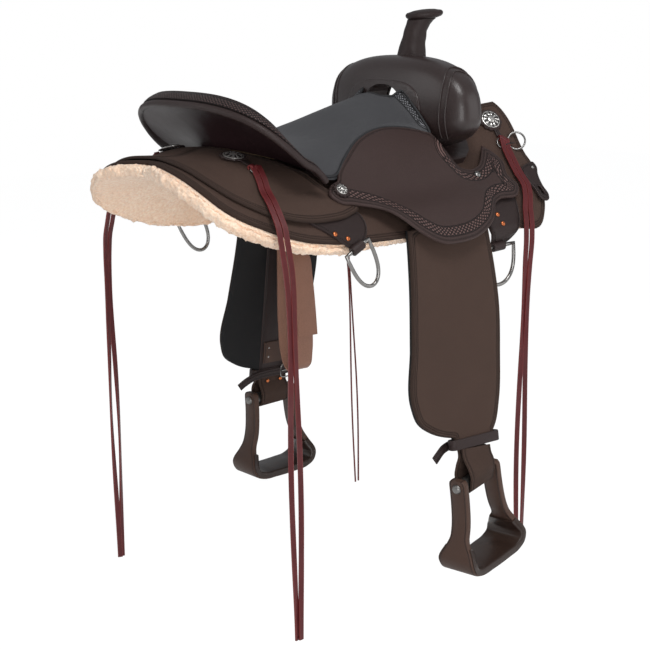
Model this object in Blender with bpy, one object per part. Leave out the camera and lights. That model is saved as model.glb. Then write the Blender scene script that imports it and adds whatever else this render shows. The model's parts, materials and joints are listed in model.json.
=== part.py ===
"""Trail saddle: a cordura and leather western saddle with a wide fork, as its separate pieces.

Frame: +Y points to the horse's head, +X to the saddle's right side, +Z up. The origin lies on the
centre plane, on the spine of the back form, where the lining rests on what carries the saddle.
Leather is cut flat in a pattern plane and laid over the back form. All lengths are in metres.
"""
import math
from functools import lru_cache

import bmesh
import bpy
import numpy as np
from mathutils import Matrix, Vector

# Back form, the shape that the saddle sits on
BACK_HALF_WIDTH = 0.235
BACK_DROP = 0.240
BACK_DROP_SLOPE = 0.045
BACK_POWER = 2.05
BACK_POWER_SLOPE = 0.9
REAR_REACH, REAR_RISE = 0.380, 0.013
FRONT_REACH, FRONT_RISE = 0.375, 0.038
WITHER_RISE = 0.048

# Thicknesses of the layers and the gap that touching pieces keep
GAP = 0.0004
FLEECE = 0.018
SKIRT = 0.006
BAR = 0.012
PLATE = 0.005
JOCKEY = 0.0045
SEAT = 0.011
CLEARANCE_UNDER_JOCKEY = 0.012
LOBE_FLARE = 0.016

# Pattern grid, shared by all laid pieces so that their facets lie parallel
S_STEP = 0.030
Y_STEP = 0.060
SEAT_STEP = 0.030

# Fork and horn
FORK_Y = 0.186
FORK_Z = 0.078
FORK_HALF_WIDTH = 0.178
FORK_HALF_DEPTH = 0.050
FORK_CROWN = 0.100
FORK_FOOT = 0.062
FORK_COVER = 0.004
GULLET_HALF_WIDTH = 0.096
GULLET_TOP = 0.136
HORN_CAP_RADIUS = 0.030
HORN_CAP_THICKNESS = 0.014
HORN_CAP_STRETCH = 1.15
HORN_POST_RADIUS = 0.011

# Cantle rim
RIM_HALF_WIDTH = 0.200
RIM_CENTRE_Y = -0.175
RIM_DEPTH = 0.112
RIM_TOP = 0.118
RIM_DROP = 0.115
RIM_ROLL = 0.011
RIM_BAND = 0.032
CANTLE_COVER = 0.003
CANTLE_REACH = 0.86
CORE_REACH = 0.52
RIM_SHARES = (0.12, 0.25, 0.38, 0.5, 0.62, 0.74, 0.84, 0.92, 0.98)

# Hanger: the plane in which fender and stirrup leather hang
HANGER_LEAN = math.radians(8.4)
HANGER_X, HANGER_Y, HANGER_Z = 0.2174, 0.089, -0.060
LINING = 0.006
FENDER = 0.005
STRAP = 0.004
STRAP_WIDTH = 0.070
STRAP_SHOULDER = 0.038
LOOP_WIDTH = 0.062
LOOP_THICKNESS = 0.005
NECK_RUN = {"right": 0.395, "left": 0.377}
BOLT_RUN = {"right": 0.448, "left": 0.418}
BOLT_TILT = {"right": math.radians(10), "left": math.radians(3)}
BOLT_YAW = {"right": math.radians(9), "left": 0.0}

# Stirrup
STIRRUP_HEIGHT = 0.148
STIRRUP_HALF_WIDTH = 0.072
STIRRUP_NECK = 0.0445
BRANCH_DEPTH = 0.040
TREAD_DEPTH = 0.072
STIRRUP_WALL = 0.011
ROLLER_RADIUS = 0.0105
BOLT_RADIUS = 0.004

# Hardware
DEE_WIRE = 0.0032
DEE_WIDTH = 0.050
DEE_DEPTH = 0.070
RING_WIRE = 0.0034
RING_RADIUS = 0.037
RING_DEPTH = 0.066
CONCHO_RADIUS = 0.017
STRING_WIDTH = 0.008
LATIGO_WIDTH = 0.044
LATIGO = 0.004
LATIGO_AT = (-0.214, 0.085, -0.0996)

SKIRT_UNDER = FLEECE + GAP
SKIRT_TOP = SKIRT_UNDER + SKIRT
BAR_UNDER = SKIRT_TOP + GAP
BAR_TOP = BAR_UNDER + BAR

SIDES = {"right": 1, "left": -1}


def step(value, low, high):
    """Smooth step from 0 at low to 1 at high."""
    t = min(max((value - low) / (high - low), 0.0), 1.0)
    return t * t * (3 - 2 * t)


def table(value, stations):
    """Smooth curve through (position, value) stations, held flat past both ends."""
    places = [place for place, _ in stations]
    if value <= places[0]:
        return stations[0][1]
    if value >= places[-1]:
        return stations[-1][1]
    i = max(k for k, place in enumerate(places) if place <= value)
    slopes = []
    for k in (i, i + 1):
        if 0 < k < len(places) - 1:
            before = (stations[k][1] - stations[k - 1][1]) / (places[k] - places[k - 1])
            after = (stations[k + 1][1] - stations[k][1]) / (places[k + 1] - places[k])
            slopes.append(0.0 if before * after <= 0 else 2 * before * after / (before + after))
        else:
            slopes.append(0.0)
    width = places[i + 1] - places[i]
    t = (value - places[i]) / width
    a, b = stations[i][1], stations[i + 1][1]
    return (a * (1 + 2 * t) * (1 - t) ** 2 + b * t * t * (3 - 2 * t)
            + width * (slopes[0] * t * (1 - t) ** 2 - slopes[1] * t * t * (1 - t)))


def through(points, spacing, closed=False, corners=()):
    """Points of a smooth curve through the given ones, straight into the corners."""
    points = [np.array(p, float) for p in points]
    count = len(points)
    result = []
    for i in range(count if closed else count - 1):
        a, b = points[i], points[(i + 1) % count]
        length = float(np.linalg.norm(b - a))

        def tangent(k):
            k %= count
            if k in corners or (not closed and k in (0, count - 1)):
                return (b - a) / length
            before, after = points[k] - points[k - 1], points[(k + 1) % count] - points[k]
            d0, d1 = np.linalg.norm(before), np.linalg.norm(after)
            return (before / d0 * d1 + after / d1 * d0) / (d0 + d1)

        pieces = max(1, math.ceil(length / spacing))
        for j in range(pieces):
            t = j / pieces
            ta, tb = tangent(i) * length, tangent(i + 1) * length
            result.append(a * (1 + 2 * t) * (1 - t) ** 2 + b * t * t * (3 - 2 * t)
                          + ta * t * (1 - t) ** 2 - tb * t * t * (1 - t))
    if not closed:
        result.append(points[-1])
    return result


@lru_cache(maxsize=None)
def section(y):
    """Half section of the back form at station y: arc lengths, x and z."""
    power = 2 / (BACK_POWER - BACK_POWER_SLOPE * y)
    drop = BACK_DROP + BACK_DROP_SLOPE * y
    if y < 0:
        rise = REAR_RISE * (y / REAR_REACH) ** 2
    else:
        rise = FRONT_RISE * (y / FRONT_REACH) ** 1.4
    turn = np.linspace(0, math.pi / 2, 400)
    x = BACK_HALF_WIDTH * np.sin(turn) ** power
    z = rise - drop * (1 - np.abs(np.cos(turn)) ** power)
    run = np.concatenate([[0], np.cumsum(np.hypot(np.diff(x), np.diff(z)))])
    return run, x, z


def lay(s, y, lift):
    """Point at arc s from the spine at station y, lifted off the form along its normal."""
    run, x, z = section(round(y, 5))

    def at(arc):
        a = abs(arc)
        return math.copysign(np.interp(a, run, x), arc), np.interp(a, run, z) - max(a - run[-1], 0)

    (x1, z1), (x2, z2) = at(s - 0.004), at(s + 0.004)
    length = math.hypot(x2 - x1, z2 - z1)
    px, pz = at(s)
    return Vector((px - (z2 - z1) / length * lift, y, pz + (x2 - x1) / length * lift))


def wither_rise(s, y):
    """How far the lining and the skirts rise at the front to clear the withers."""
    return WITHER_RISE * step(y, 0.20, 0.31) * (1 - step(abs(s), 0.04, 0.14))


def bar_rise(s, y):
    """How far the tree bars lift what is laid over them."""
    along = step(y, -0.30, -0.24) * (1 - step(y, 0.24, 0.30))
    return BAR * along * (1 - step(abs(s), 0.12, 0.16))


def plate_rise(s, y):
    """How far the rear rig plate lifts the edge of the rear jockey."""
    return PLATE * step(abs(s), 0.15, 0.18) * step(y, -0.27, -0.225)


def seat_rise(s, y):
    """How far the ground seat lifts the side jockey."""
    stations = [(-0.13, 0.018), (-0.10, 0.023), (-0.06, 0.0325), (-0.017, 0.042), (0.03, 0.0455),
                (0.10, 0.043), (0.137, 0.042), (0.175, 0.008), (0.20, 0.0)]
    return table(y, stations) * (1 - step(abs(s), 0.06, 0.20))


def lobe_flare(s, y):
    """How far the side jockey stands off to clear the fender's swing."""
    along = step(y, -0.11, -0.02) * (1 - step(y, 0.17, 0.215))
    return LOBE_FLARE * step(abs(s), 0.165, 0.22) * along


def side_jockey_top(s, y):
    return SKIRT_TOP + CLEARANCE_UNDER_JOCKEY + JOCKEY + seat_rise(s, y) + lobe_flare(s, y)


def side_jockey_under(s, y):
    return side_jockey_top(s, y) - JOCKEY


def rear_jockey_under(s, y):
    return BAR_UNDER + 5 * GAP + bar_rise(s, y) + plate_rise(s, y)


def rear_jockey_top(s, y):
    return rear_jockey_under(s, y) + JOCKEY


def laid(under, over, s_step=S_STEP):
    """Placing rule that lays a pattern between two lifts over the back form."""
    @lru_cache(maxsize=None)
    def knot(i, j, level):
        s, y = i * s_step, j * Y_STEP
        lift = over if level > 0.5 else under
        return lay(s, y, lift(s, y) if callable(lift) else lift)

    def place(s, y, level):
        return bilinear(knot, s / s_step, y / Y_STEP, level)
    return place


def bilinear(knot, a, b, level):
    i, j = math.floor(a), math.floor(b)
    u, v = a - i, b - j
    return (knot(i, j, level) * (1 - u) * (1 - v) + knot(i + 1, j, level) * u * (1 - v)
            + knot(i, j + 1, level) * (1 - u) * v + knot(i + 1, j + 1, level) * u * v)


def material(name, colour, roughness, metallic=0.0):
    """One finish, made once and shared by the pieces that have it."""
    if name in bpy.data.materials:
        return bpy.data.materials[name]
    finish = bpy.data.materials.new(name)
    finish.use_nodes = True
    shader = finish.node_tree.nodes["Principled BSDF"]
    shader.inputs["Base Color"].default_value = (*colour, 1)
    shader.inputs["Roughness"].default_value = roughness
    shader.inputs["Metallic"].default_value = metallic
    return finish


FINISHES = {
    "cordura": ((0.075, 0.045, 0.035), 0.85),
    "jockey_leather": ((0.058, 0.038, 0.034), 0.5),
    "seat_leather": ((0.070, 0.075, 0.075), 0.45),
    "dark_leather": ((0.040, 0.024, 0.024), 0.4),
    "stirrup_leather": ((0.085, 0.052, 0.040), 0.5),
    "latigo_leather": ((0.190, 0.115, 0.080), 0.6),
    "string_leather": ((0.150, 0.028, 0.028), 0.5),
    "fleece": ((0.85, 0.68, 0.52), 0.95),
    "neoprene": ((0.012, 0.012, 0.012), 0.8),
    "wood": ((0.45, 0.30, 0.17), 0.7),
    "steel": ((0.62, 0.62, 0.60), 0.25, 1.0),
    "copper": ((0.72, 0.33, 0.17), 0.3, 1.0),
}


def collection(name):
    """The collection of that name, made in the scene where it isn't there yet."""
    if name not in bpy.data.collections:
        bpy.context.scene.collection.children.link(bpy.data.collections.new(name))
    return bpy.data.collections[name]


def keep(name, mesh, finish, folder="trail_saddle"):
    """Object of a mesh in its collection, with its finish."""
    obj = bpy.data.objects.new(name, mesh)
    mesh.materials.clear()
    mesh.materials.append(material(finish, *FINISHES[finish]))
    collection(folder).objects.link(obj)
    if folder == "cutters":
        obj.hide_render = True
        obj.display_type = "WIRE"
    return obj


def closed_mesh(name, bm):
    """Mesh of a finished bmesh with its faces turned out."""
    bmesh.ops.recalc_face_normals(bm, faces=bm.faces)
    mesh = bpy.data.meshes.new(name)
    bm.to_mesh(mesh)
    bm.free()
    return mesh


def pattern(name, outline, place, finish, grid=(S_STEP, Y_STEP), folder="trail_saddle"):
    """A piece cut out flat along an outline, then laid point by point with the placing rule."""
    bm = bmesh.new()
    rim = [bm.verts.new((p[0], p[1], 0.0)) for p in outline]
    grown = bmesh.ops.extrude_face_region(bm, geom=[bm.faces.new(rim)])
    top = [v for v in grown["geom"] if isinstance(v, bmesh.types.BMVert)]
    bmesh.ops.translate(bm, vec=(0, 0, 1), verts=top)
    for axis, pitch in enumerate(grid):
        low = min(p[axis] for p in outline)
        high = max(p[axis] for p in outline)
        normal = Vector((axis == 0, axis == 1, 0))
        for k in range(math.ceil(low / pitch), math.floor(high / pitch) + 1):
            everything = bm.verts[:] + bm.edges[:] + bm.faces[:]
            bmesh.ops.bisect_plane(bm, geom=everything, dist=1e-5, plane_co=normal * k * pitch, plane_no=normal)
    bmesh.ops.remove_doubles(bm, verts=bm.verts, dist=2e-4)
    bmesh.ops.triangulate(bm, faces=bm.faces)
    for v in bm.verts:
        v.co = place(v.co.x, v.co.y, v.co.z)
    return keep(name, closed_mesh(name, bm), finish, folder)


def mirrored(outline, side):
    """Outline for a side: the left piece is the right one's mirror image."""
    return [(p[0] * side, p[1]) for p in outline]


def loft(name, rings, finish, closed=False, folder="trail_saddle"):
    """Closed body through rings of points; its ends are capped unless the rings form a loop."""
    bm = bmesh.new()
    rows = [[bm.verts.new(p) for p in ring] for ring in rings]
    count = len(rows[0])
    pairs = zip(rows, rows[1:] + rows[:1]) if closed else zip(rows, rows[1:])
    for first, second in pairs:
        for k in range(count):
            after = (k + 1) % count
            bm.faces.new((first[k], first[after], second[after], second[k]))
    if not closed:
        bm.faces.new(rows[0])
        bm.faces.new(rows[-1])
    bmesh.ops.triangulate(bm, faces=bm.faces)
    return keep(name, closed_mesh(name, bm), finish, folder)


def ribbon(name, path, across, width, thickness, finish, closed=False):
    """Flat strap of even thickness along a path of points; across gives its width's direction."""
    path = [Vector(p) for p in path]
    rings = []
    for i, point in enumerate(path):
        before = path[i - 1] if i or closed else point
        after = path[(i + 1) % len(path)] if i < len(path) - 1 or closed else point
        side = across(i / (len(path) - 1)).normalized()
        out = (after - before).cross(side).normalized()
        half, deep = side * width / 2, out * thickness / 2
        rings.append([point - half - deep, point + half - deep, point + half + deep, point - half + deep])
    return loft(name, rings, finish, closed)


def wire(name, points, radius, finish, closed=False, sides=2):
    """Round wire or tube along points, as a mesh with welded caps."""
    curve = bpy.data.curves.new(name, "CURVE")
    curve.dimensions = "3D"
    curve.bevel_depth = radius
    curve.bevel_resolution = sides
    curve.use_fill_caps = not closed
    spline = curve.splines.new("POLY")
    spline.points.add(len(points) - 1)
    spline.use_cyclic_u = closed
    for knot, p in zip(spline.points, points):
        knot.co = (*p, 1)
    source = bpy.data.objects.new(name, curve)
    bpy.context.scene.collection.objects.link(source)
    bpy.context.view_layer.update()
    mesh = bpy.data.meshes.new_from_object(source.evaluated_get(bpy.context.evaluated_depsgraph_get()))
    bpy.data.objects.remove(source)
    bm = bmesh.new()
    bm.from_mesh(mesh)
    bmesh.ops.remove_doubles(bm, verts=bm.verts, dist=1e-5)
    bpy.data.meshes.remove(mesh)
    return keep(name, closed_mesh(name, bm), finish)


def turned(name, profile, frame, finish, sides=20, folder="trail_saddle"):
    """Turned body: (radius, height) profile from its foot to its top, round the frame's Z axis."""
    rings = []
    for radius, height in profile:
        turns = [2 * math.pi * k / sides for k in range(sides)]
        rings.append([frame @ Vector((radius * math.cos(a), radius * math.sin(a), height)) for a in turns])
    return loft(name, rings, finish, folder=folder)


def boolean(obj, other, operation):
    """Boolean of an object with another one."""
    modifier = obj.modifiers.new(f"{operation.lower()}_{other.name}", "BOOLEAN")
    modifier.object = other
    modifier.operation = operation


def frame_on(place, s, y, level=1.0, lift=GAP):
    """Frame on a laid piece: origin on its face, Z along its outward normal, Y forwards."""
    point = place(s, y, level)
    reach = 0.004
    along_s = place(s + reach, y, level) - place(s - reach, y, level)
    along_y = place(s, y + reach, level) - place(s, y - reach, level)
    normal = along_s.cross(along_y).normalized()
    forward = (along_y - normal * along_y.dot(normal)).normalized()
    basis = Matrix((forward.cross(normal), forward, normal)).transposed().to_4x4()
    return Matrix.Translation(point + normal * lift) @ basis


# Outlines in the pattern plane: (arc from the spine, station)

SPINE_GAP = 0.0004

SKIRT_EDGE = [(SPINE_GAP, -0.349), (0.036, -0.360), (0.082, -0.377), (0.131, -0.376), (0.164, -0.362),
              (0.193, -0.326), (0.217, -0.285), (0.235, -0.238), (0.246, -0.185), (0.249, -0.136),
              (0.241, -0.058), (0.238, 0.010), (0.238, 0.090), (0.243, 0.150), (0.249, 0.200), (0.252, 0.235),
              (0.263, 0.268), (0.266, 0.297), (0.240, 0.325), (0.200, 0.342), (0.155, 0.352),
              (0.100, 0.350), (0.045, 0.338), (0.042, 0.200), (0.036, -0.020), (SPINE_GAP, -0.150)]
SKIRT_CORNERS = (0, 22, 25)

FLEECE_EDGE = [(SPINE_GAP, -0.353), (0.036, -0.366), (0.084, -0.388), (0.140, -0.388), (0.178, -0.370),
               (0.208, -0.335), (0.232, -0.290), (0.250, -0.240), (0.253, -0.190), (0.246, -0.140),
               (0.238, -0.060), (0.235, 0.010), (0.235, 0.090), (0.240, 0.150), (0.245, 0.200), (0.249, 0.235),
               (0.260, 0.268), (0.262, 0.297), (0.243, 0.331), (0.202, 0.348), (0.155, 0.358),
               (0.100, 0.356), (0.043, 0.343), (0.040, 0.200), (0.034, -0.020), (SPINE_GAP, -0.150)]
FLEECE_CORNERS = (0, 22, 25)

BAR_EDGE = [(0.045, -0.228), (0.080, -0.238), (0.110, -0.225), (0.112, -0.100), (0.112, 0.100),
            (0.112, 0.225), (0.080, 0.238), (0.048, 0.228), (0.045, 0.060), (0.045, -0.100)]

CANTLE_BASE = [(0.0, -0.218), (0.031, -0.211), (0.068, -0.191), (0.095, -0.165), (0.123, -0.139),
               (0.148, -0.113)]

REAR_JOCKEY_EDGE = [(SPINE_GAP, -0.3445), (0.014, -0.349), (0.051, -0.356), (0.084, -0.352), (0.133, -0.343),
                    (0.175, -0.318), (0.200, -0.279), (0.213, -0.230), (0.216, -0.172), (0.212, -0.151),
                    (0.204, -0.105), (0.190, -0.082), (0.170, -0.086), (0.155, -0.111), (0.127, -0.143),
                    (0.099, -0.170), (0.071, -0.196), (0.033, -0.216), (SPINE_GAP, -0.2225)]
REAR_JOCKEY_CORNERS = (0, 18)

SEAM = [(0.149, -0.100), (0.139, -0.092), (0.116, -0.060), (0.093, -0.017), (0.082, 0.020),
        (0.078, 0.054), (0.085, 0.103), (0.097, 0.135)]
SIDE_JOCKEY_EDGE = SEAM + [(0.125, 0.150), (0.146, 0.168), (0.152, 0.190), (0.147, 0.214), (0.128, 0.238),
                           (0.110, 0.256), (0.128, 0.266), (0.150, 0.272), (0.176, 0.262), (0.196, 0.272),
                           (0.210, 0.262), (0.212, 0.217), (0.223, 0.190), (0.246, 0.165), (0.262, 0.125),
                           (0.266, 0.080), (0.262, 0.040), (0.246, 0.008), (0.223, -0.022), (0.202, -0.050),
                           (0.189, -0.090), (0.183, -0.120), (0.171, -0.130), (0.156, -0.118)]
SIDE_JOCKEY_CORNERS = (7, 13)

REAR_PLATE_EDGE = [(0.190, -0.195), (0.205, -0.190), (0.222, -0.166), (0.238, -0.143), (0.250, -0.124),
                   (0.246, -0.106), (0.234, -0.088), (0.216, -0.078), (0.195, -0.082), (0.185, -0.120)]
FRONT_PLATE_EDGE = [(0.185, 0.180), (0.215, 0.178), (0.245, 0.178), (0.262, 0.180), (0.273, 0.188),
                    (0.277, 0.206), (0.270, 0.234), (0.255, 0.248), (0.235, 0.257), (0.205, 0.262),
                    (0.180, 0.250)]


def smooth(outline, corners, side=1):
    return mirrored(through(outline, 0.028, closed=True, corners=corners), side)


def make_lining_and_skirts():
    """Fleece lining, skirts and tree bars, one of each on a side."""
    for label, side in SIDES.items():
        fleece = laid(wither_rise, lambda s, y: wither_rise(s, y) + FLEECE)
        pattern(f"fleece_{label}", smooth(FLEECE_EDGE, FLEECE_CORNERS, side), fleece, "fleece")
        skirt = laid(lambda s, y: wither_rise(s, y) + SKIRT_UNDER, lambda s, y: wither_rise(s, y) + SKIRT_TOP)
        pattern(f"skirt_{label}", smooth(SKIRT_EDGE, SKIRT_CORNERS, side), skirt, "cordura")
        bar = laid(lambda s, y: wither_rise(s, y) + BAR_UNDER, lambda s, y: wither_rise(s, y) + BAR_TOP)
        pattern(f"tree_bar_{label}", smooth(BAR_EDGE, (), side), bar, "wood")


def make_jockeys():
    """Rear jockeys behind the cantle and side jockeys beside the seat."""
    rear = laid(rear_jockey_under, rear_jockey_top)
    side_rule = laid(side_jockey_under, side_jockey_top)
    for label, side in SIDES.items():
        pattern(f"rear_jockey_{label}", smooth(REAR_JOCKEY_EDGE, REAR_JOCKEY_CORNERS, side), rear, "cordura")
        edge = smooth(SIDE_JOCKEY_EDGE, SIDE_JOCKEY_CORNERS, side)
        pattern(f"side_jockey_{label}", edge, side_rule, "jockey_leather")


def fork_radius(unit):
    """Point of the swell's outer form in the direction of a unit vector."""
    plan, crown = 3.0, 2.6 if unit[2] > 0 else 2.2
    value = (abs(unit[0]) ** plan + abs(unit[1]) ** plan) ** (crown / plan) + abs(unit[2]) ** crown
    return value ** (-1 / crown)


def fork_form(name, shrink, finish, rings, folder="trail_saddle"):
    """Rounded swell body, smaller by shrink all round."""
    bm = bmesh.new()
    bmesh.ops.create_uvsphere(bm, u_segments=rings, v_segments=rings, radius=1)
    bmesh.ops.rotate(bm, verts=bm.verts, matrix=Matrix.Rotation(math.pi / 2, 3, "Y"))
    for v in bm.verts:
        scale = fork_radius(v.co)
        tall = FORK_CROWN if v.co.z > 0 else FORK_FOOT
        v.co = Vector((v.co.x * scale * (FORK_HALF_WIDTH - shrink),
                       FORK_Y + v.co.y * scale * (FORK_HALF_DEPTH - shrink),
                       FORK_Z + v.co.z * scale * (tall - shrink)))
    return keep(name, closed_mesh(name, bm), finish, folder)


def make_fork():
    """Fork core, its leather cover, the horn post, its wrap and its cap."""
    arch = []
    for k in range(25):
        turn = math.pi * k / 24
        power = 2 / 3.5
        x = GULLET_HALF_WIDTH * math.copysign(abs(math.cos(turn)) ** power, math.cos(turn))
        z = 0.06 + (GULLET_TOP - 0.06) * abs(math.sin(turn)) ** power
        arch.append((x, z))
    arch += [(-GULLET_HALF_WIDTH, -0.06), (GULLET_HALF_WIDTH, -0.06)]
    rings = [[Vector((x, y, z)) for x, z in arch] for y in (0.02, 0.32)]
    gullet = loft("gullet_cutter", rings, "wood", folder="cutters")
    bars = laid(lambda s, y: -0.06, lambda s, y: BAR_TOP + 0.0022 + wither_rise(s, y))
    block = [(-0.27, 0.09), (0.27, 0.09), (0.27, 0.27), (-0.27, 0.27)]
    seat_of_fork = pattern("fork_seat_cutter", block, bars, "wood", folder="cutters")

    horn = [((0, 0.198, 0.130), 0.040), ((0, 0.201, 0.156), 0.031), ((0, 0.205, 0.178), 0.0255),
            ((0, 0.209, 0.200), 0.0220), ((0, 0.214, 0.218), 0.0205), ((0, 0.221, 0.230), 0.0215),
            ((0, 0.226, 0.2368), 0.0235)]
    wrap = loft("horn_wrap", level_sections(horn), "dark_leather")
    post_line = [((0, 0.198, 0.145), HORN_POST_RADIUS), ((0, 0.209, 0.200), HORN_POST_RADIUS),
                 ((0, 0.2255, 0.2368), HORN_POST_RADIUS * 0.9)]
    loft("horn_post", level_sections(post_line, 12), "steel")
    bored = [(centre, radius + GAP) for centre, radius in post_line]
    bored[0] = ((0, 0.1978, 0.1445), HORN_POST_RADIUS + GAP)
    bored[-1] = ((0, 0.2277, 0.2418), HORN_POST_RADIUS * 0.9 + GAP)
    bore = loft("post_cutter", level_sections(bored, 12), "wood", folder="cutters")
    boolean(wrap, fork_form("swell_cutter", -GAP, "wood", 20, "cutters"), "DIFFERENCE")
    boolean(wrap, bore, "DIFFERENCE")

    core = fork_form("fork_core", FORK_COVER + 0.0015, "wood", 12)
    cover = fork_form("swell_cover", 0.0, "dark_leather", 20)
    boolean(cover, fork_form("cover_cutter", FORK_COVER, "wood", 12, "cutters"), "DIFFERENCE")
    for body in (core, cover):
        boolean(body, gullet, "DIFFERENCE")
        boolean(body, seat_of_fork, "DIFFERENCE")
        boolean(body, bore, "DIFFERENCE")

    stretch = Matrix.Diagonal((1, HORN_CAP_STRETCH, 1, 1))
    tilt = Matrix.Translation((0, 0.236, 0.2408)) @ Matrix.Rotation(math.radians(6), 4, "X") @ stretch
    profile = [(0.018, 0.0), (HORN_CAP_RADIUS * 0.93, 0.002), (HORN_CAP_RADIUS, 0.006),
               (HORN_CAP_RADIUS * 0.95, 0.010), (HORN_CAP_RADIUS * 0.6, HORN_CAP_THICKNESS - 0.001),
               (0.004, HORN_CAP_THICKNESS)]
    turned("horn_cap", profile, tilt, "dark_leather", 24)


def level_sections(stations, sides=20):
    """Level rings round a line of (centre, radius) stations."""
    turns = [2 * math.pi * k / sides for k in range(sides)]
    return [[Vector(centre) + Vector((math.cos(a), math.sin(a), 0)) * radius for a in turns]
            for centre, radius in stations]


def seat_centre(y):
    """Height of the seat's middle line."""
    return table(y, [(-0.262, 0.136), (-0.240, 0.110), (-0.212, 0.080), (-0.180, 0.062), (-0.140, 0.054),
                     (-0.100, 0.052), (-0.060, 0.0545), (-0.037, 0.060), (0.0, 0.076), (0.033, 0.094),
                     (0.059, 0.104), (0.085, 0.111), (0.112, 0.119), (0.150, 0.148)])


@lru_cache(maxsize=None)
def seam_points():
    """Seam between seat and side jockey, in the frame."""
    rule = laid(side_jockey_under, side_jockey_top)
    return [rule(s, y, 1.0) for s, y in SEAM]


def rim_point(t):
    """Outer edge of the cantle rim; t runs from 0 at the rear to 1 at the right tip."""
    turn = math.radians(100) * abs(t)
    power = 2 / 2.62
    x = RIM_HALF_WIDTH * math.copysign(abs(math.sin(turn)) ** power, t)
    y = RIM_CENTRE_Y - RIM_DEPTH * math.copysign(abs(math.cos(turn)) ** power, math.cos(turn))
    return Vector((x, y, RIM_TOP - RIM_DROP * abs(t) ** 2.15))


def rim_inward(t):
    """Level direction from the rim towards the seat."""
    along = rim_point(t + 0.02) - rim_point(t - 0.02)
    return Vector((-along.y, along.x, 0)).normalized()


def rim_inner(t):
    """Inner edge of the rim's band, where the seat meets it."""
    rise = 0.020 - 0.009 * abs(t) ** 2
    return rim_point(t) + rim_inward(t) * (RIM_BAND * 0.76) + Vector((0, 0, rise))


def seat_edge(y):
    """Half width and height of the seat's edge at a station: rim band behind, seam in front."""
    rim = [rim_inner(t) for t in (0.12, 0.25, 0.4, 0.55, 0.7, 0.82, 0.92, 1.0)]
    line = [(p.y, p.x, p.z) for p in rim] + [(p.y, p.x, p.z) for p in seam_points()]
    line.append((0.150, line[-1][1] + 0.008, line[-1][2] - 0.004))
    return (table(y, [(a, b) for a, b, _ in line]), table(y, [(a, c) for a, _, c in line]))


def seat_top(x, y):
    """Height of the padded seat's face."""
    half, low = seat_edge(y)
    centre = seat_centre(y)
    power = 4.0 - 2.2 * step(y, -0.14, 0.06)
    return centre - (centre - low) * min(abs(x) / half, 1.2) ** power


def seat_under(x, y):
    """Height of the seat's lower face; the padding thins out over the cantle's flanks."""
    thin = step(abs(x) / seat_edge(y)[0], 0.35, 0.70) * step(-y, 0.08, 0.14)
    return seat_top(x, y) - SEAT * (1 - 0.65 * thin)


def field(under, over, draw_in=0.0):
    """Placing rule for a piece between two height fields; its lower face may be drawn in at the sides."""
    @lru_cache(maxsize=None)
    def knot(i, j, level):
        x, y = i * SEAT_STEP, j * SEAT_STEP
        return Vector((x, y, over(x, y) if level > 0.5 else under(x, y)))

    def place(x, y, level):
        share = 1 - draw_in * (1 - level)
        return bilinear(knot, x * share / SEAT_STEP, y / SEAT_STEP, level)
    return place


def laid_height(x, y, lift):
    """Height over the frame's base of a laid face at a place across."""
    values = [lay(k * S_STEP, y, lift(k * S_STEP, y)) for k in range(8)]
    return float(np.interp(abs(x), [p.x for p in values], [p.z for p in values]))


def seat_outline(inset, steps):
    """Half outline of the seat from the rear to its front corner, drawn in by inset."""
    points = [(0.0, rim_inner(0.0).y + inset)]
    for t in steps:
        p = rim_inner(t) + rim_inward(t) * inset
        points.append((p.x, p.y))
    for p in seam_points()[1:]:
        points.append((p.x - inset, p.y))
    return points


def make_seat():
    """Padded seat with its hand hole, and the ground seat under it."""
    half = seat_outline(0.0035, RIM_SHARES)
    half += [(0.105, 0.1355), (0.080, 0.1355), (0.056, 0.1375)]
    hole = [(0.052, 0.1365), (0.044, 0.122), (0.028, 0.1125), (0.0, 0.1105)]
    right = half + hole
    outline = right + [(-x, y) for x, y in reversed(right[1:-1])]
    corners = (18, 21, len(outline) - 18, len(outline) - 21)
    edge = through(outline, 0.020, closed=True, corners=corners)
    rule = field(seat_under, seat_top, 0.05)
    pattern("seat", edge, rule, "seat_leather", (SEAT_STEP, SEAT_STEP))

    def floor(x, y):
        lowest = laid_height(x, y, lambda s, v: BAR_TOP + wither_rise(s, v)) + 0.0035
        return min(lowest, seat_under(x, y) - 0.0046)

    ground = [(0.0, -0.168), (0.045, -0.158), (0.066, -0.130), (0.082, -0.090), (0.084, -0.040),
              (0.076, 0.010), (0.072, 0.060), (0.078, 0.100), (0.070, 0.118), (0.030, 0.104), (0.0, 0.102)]
    loop = ground + [(-x, y) for x, y in reversed(ground[1:-1])]
    edge = through(loop, 0.025, closed=True)
    ground_rule = field(floor, lambda x, y: seat_under(x, y) - 0.0020)
    pattern("ground_seat", edge, ground_rule, "latigo_leather", (SEAT_STEP, SEAT_STEP))


def shares_along(points):
    """Share of a line's length that lies before each of its points."""
    steps = [0.0] + [math.dist(a, b) for a, b in zip(points, points[1:])]
    return [float(run) / sum(steps) for run in np.cumsum(steps)]


@lru_cache(maxsize=None)
def base_point(t):
    """Foot of the cantle's back on the bars, as far along its line as t is along the rim."""
    places = [k / 40 for k in range(41)]
    share = float(np.interp(abs(t), places, shares_along([rim_point(k) for k in places])))
    stations = shares_along(CANTLE_BASE)
    s = table(share, [(a, p[0]) for a, p in zip(stations, CANTLE_BASE)])
    y = table(share, [(a, p[1]) for a, p in zip(stations, CANTLE_BASE)])
    point = lay(math.copysign(s, t), y, rear_jockey_top(s, y) + 0.0015)
    return point


def cantle_frame(t):
    """Foot, up and inward directions and height of the cantle's section at t."""
    foot, top = base_point(t), rim_point(t)
    up = top - foot
    along = rim_point(t + 0.02) - rim_point(t - 0.02)
    inward = up.cross(along).normalized()
    return foot, up.normalized(), inward, up.length


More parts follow.
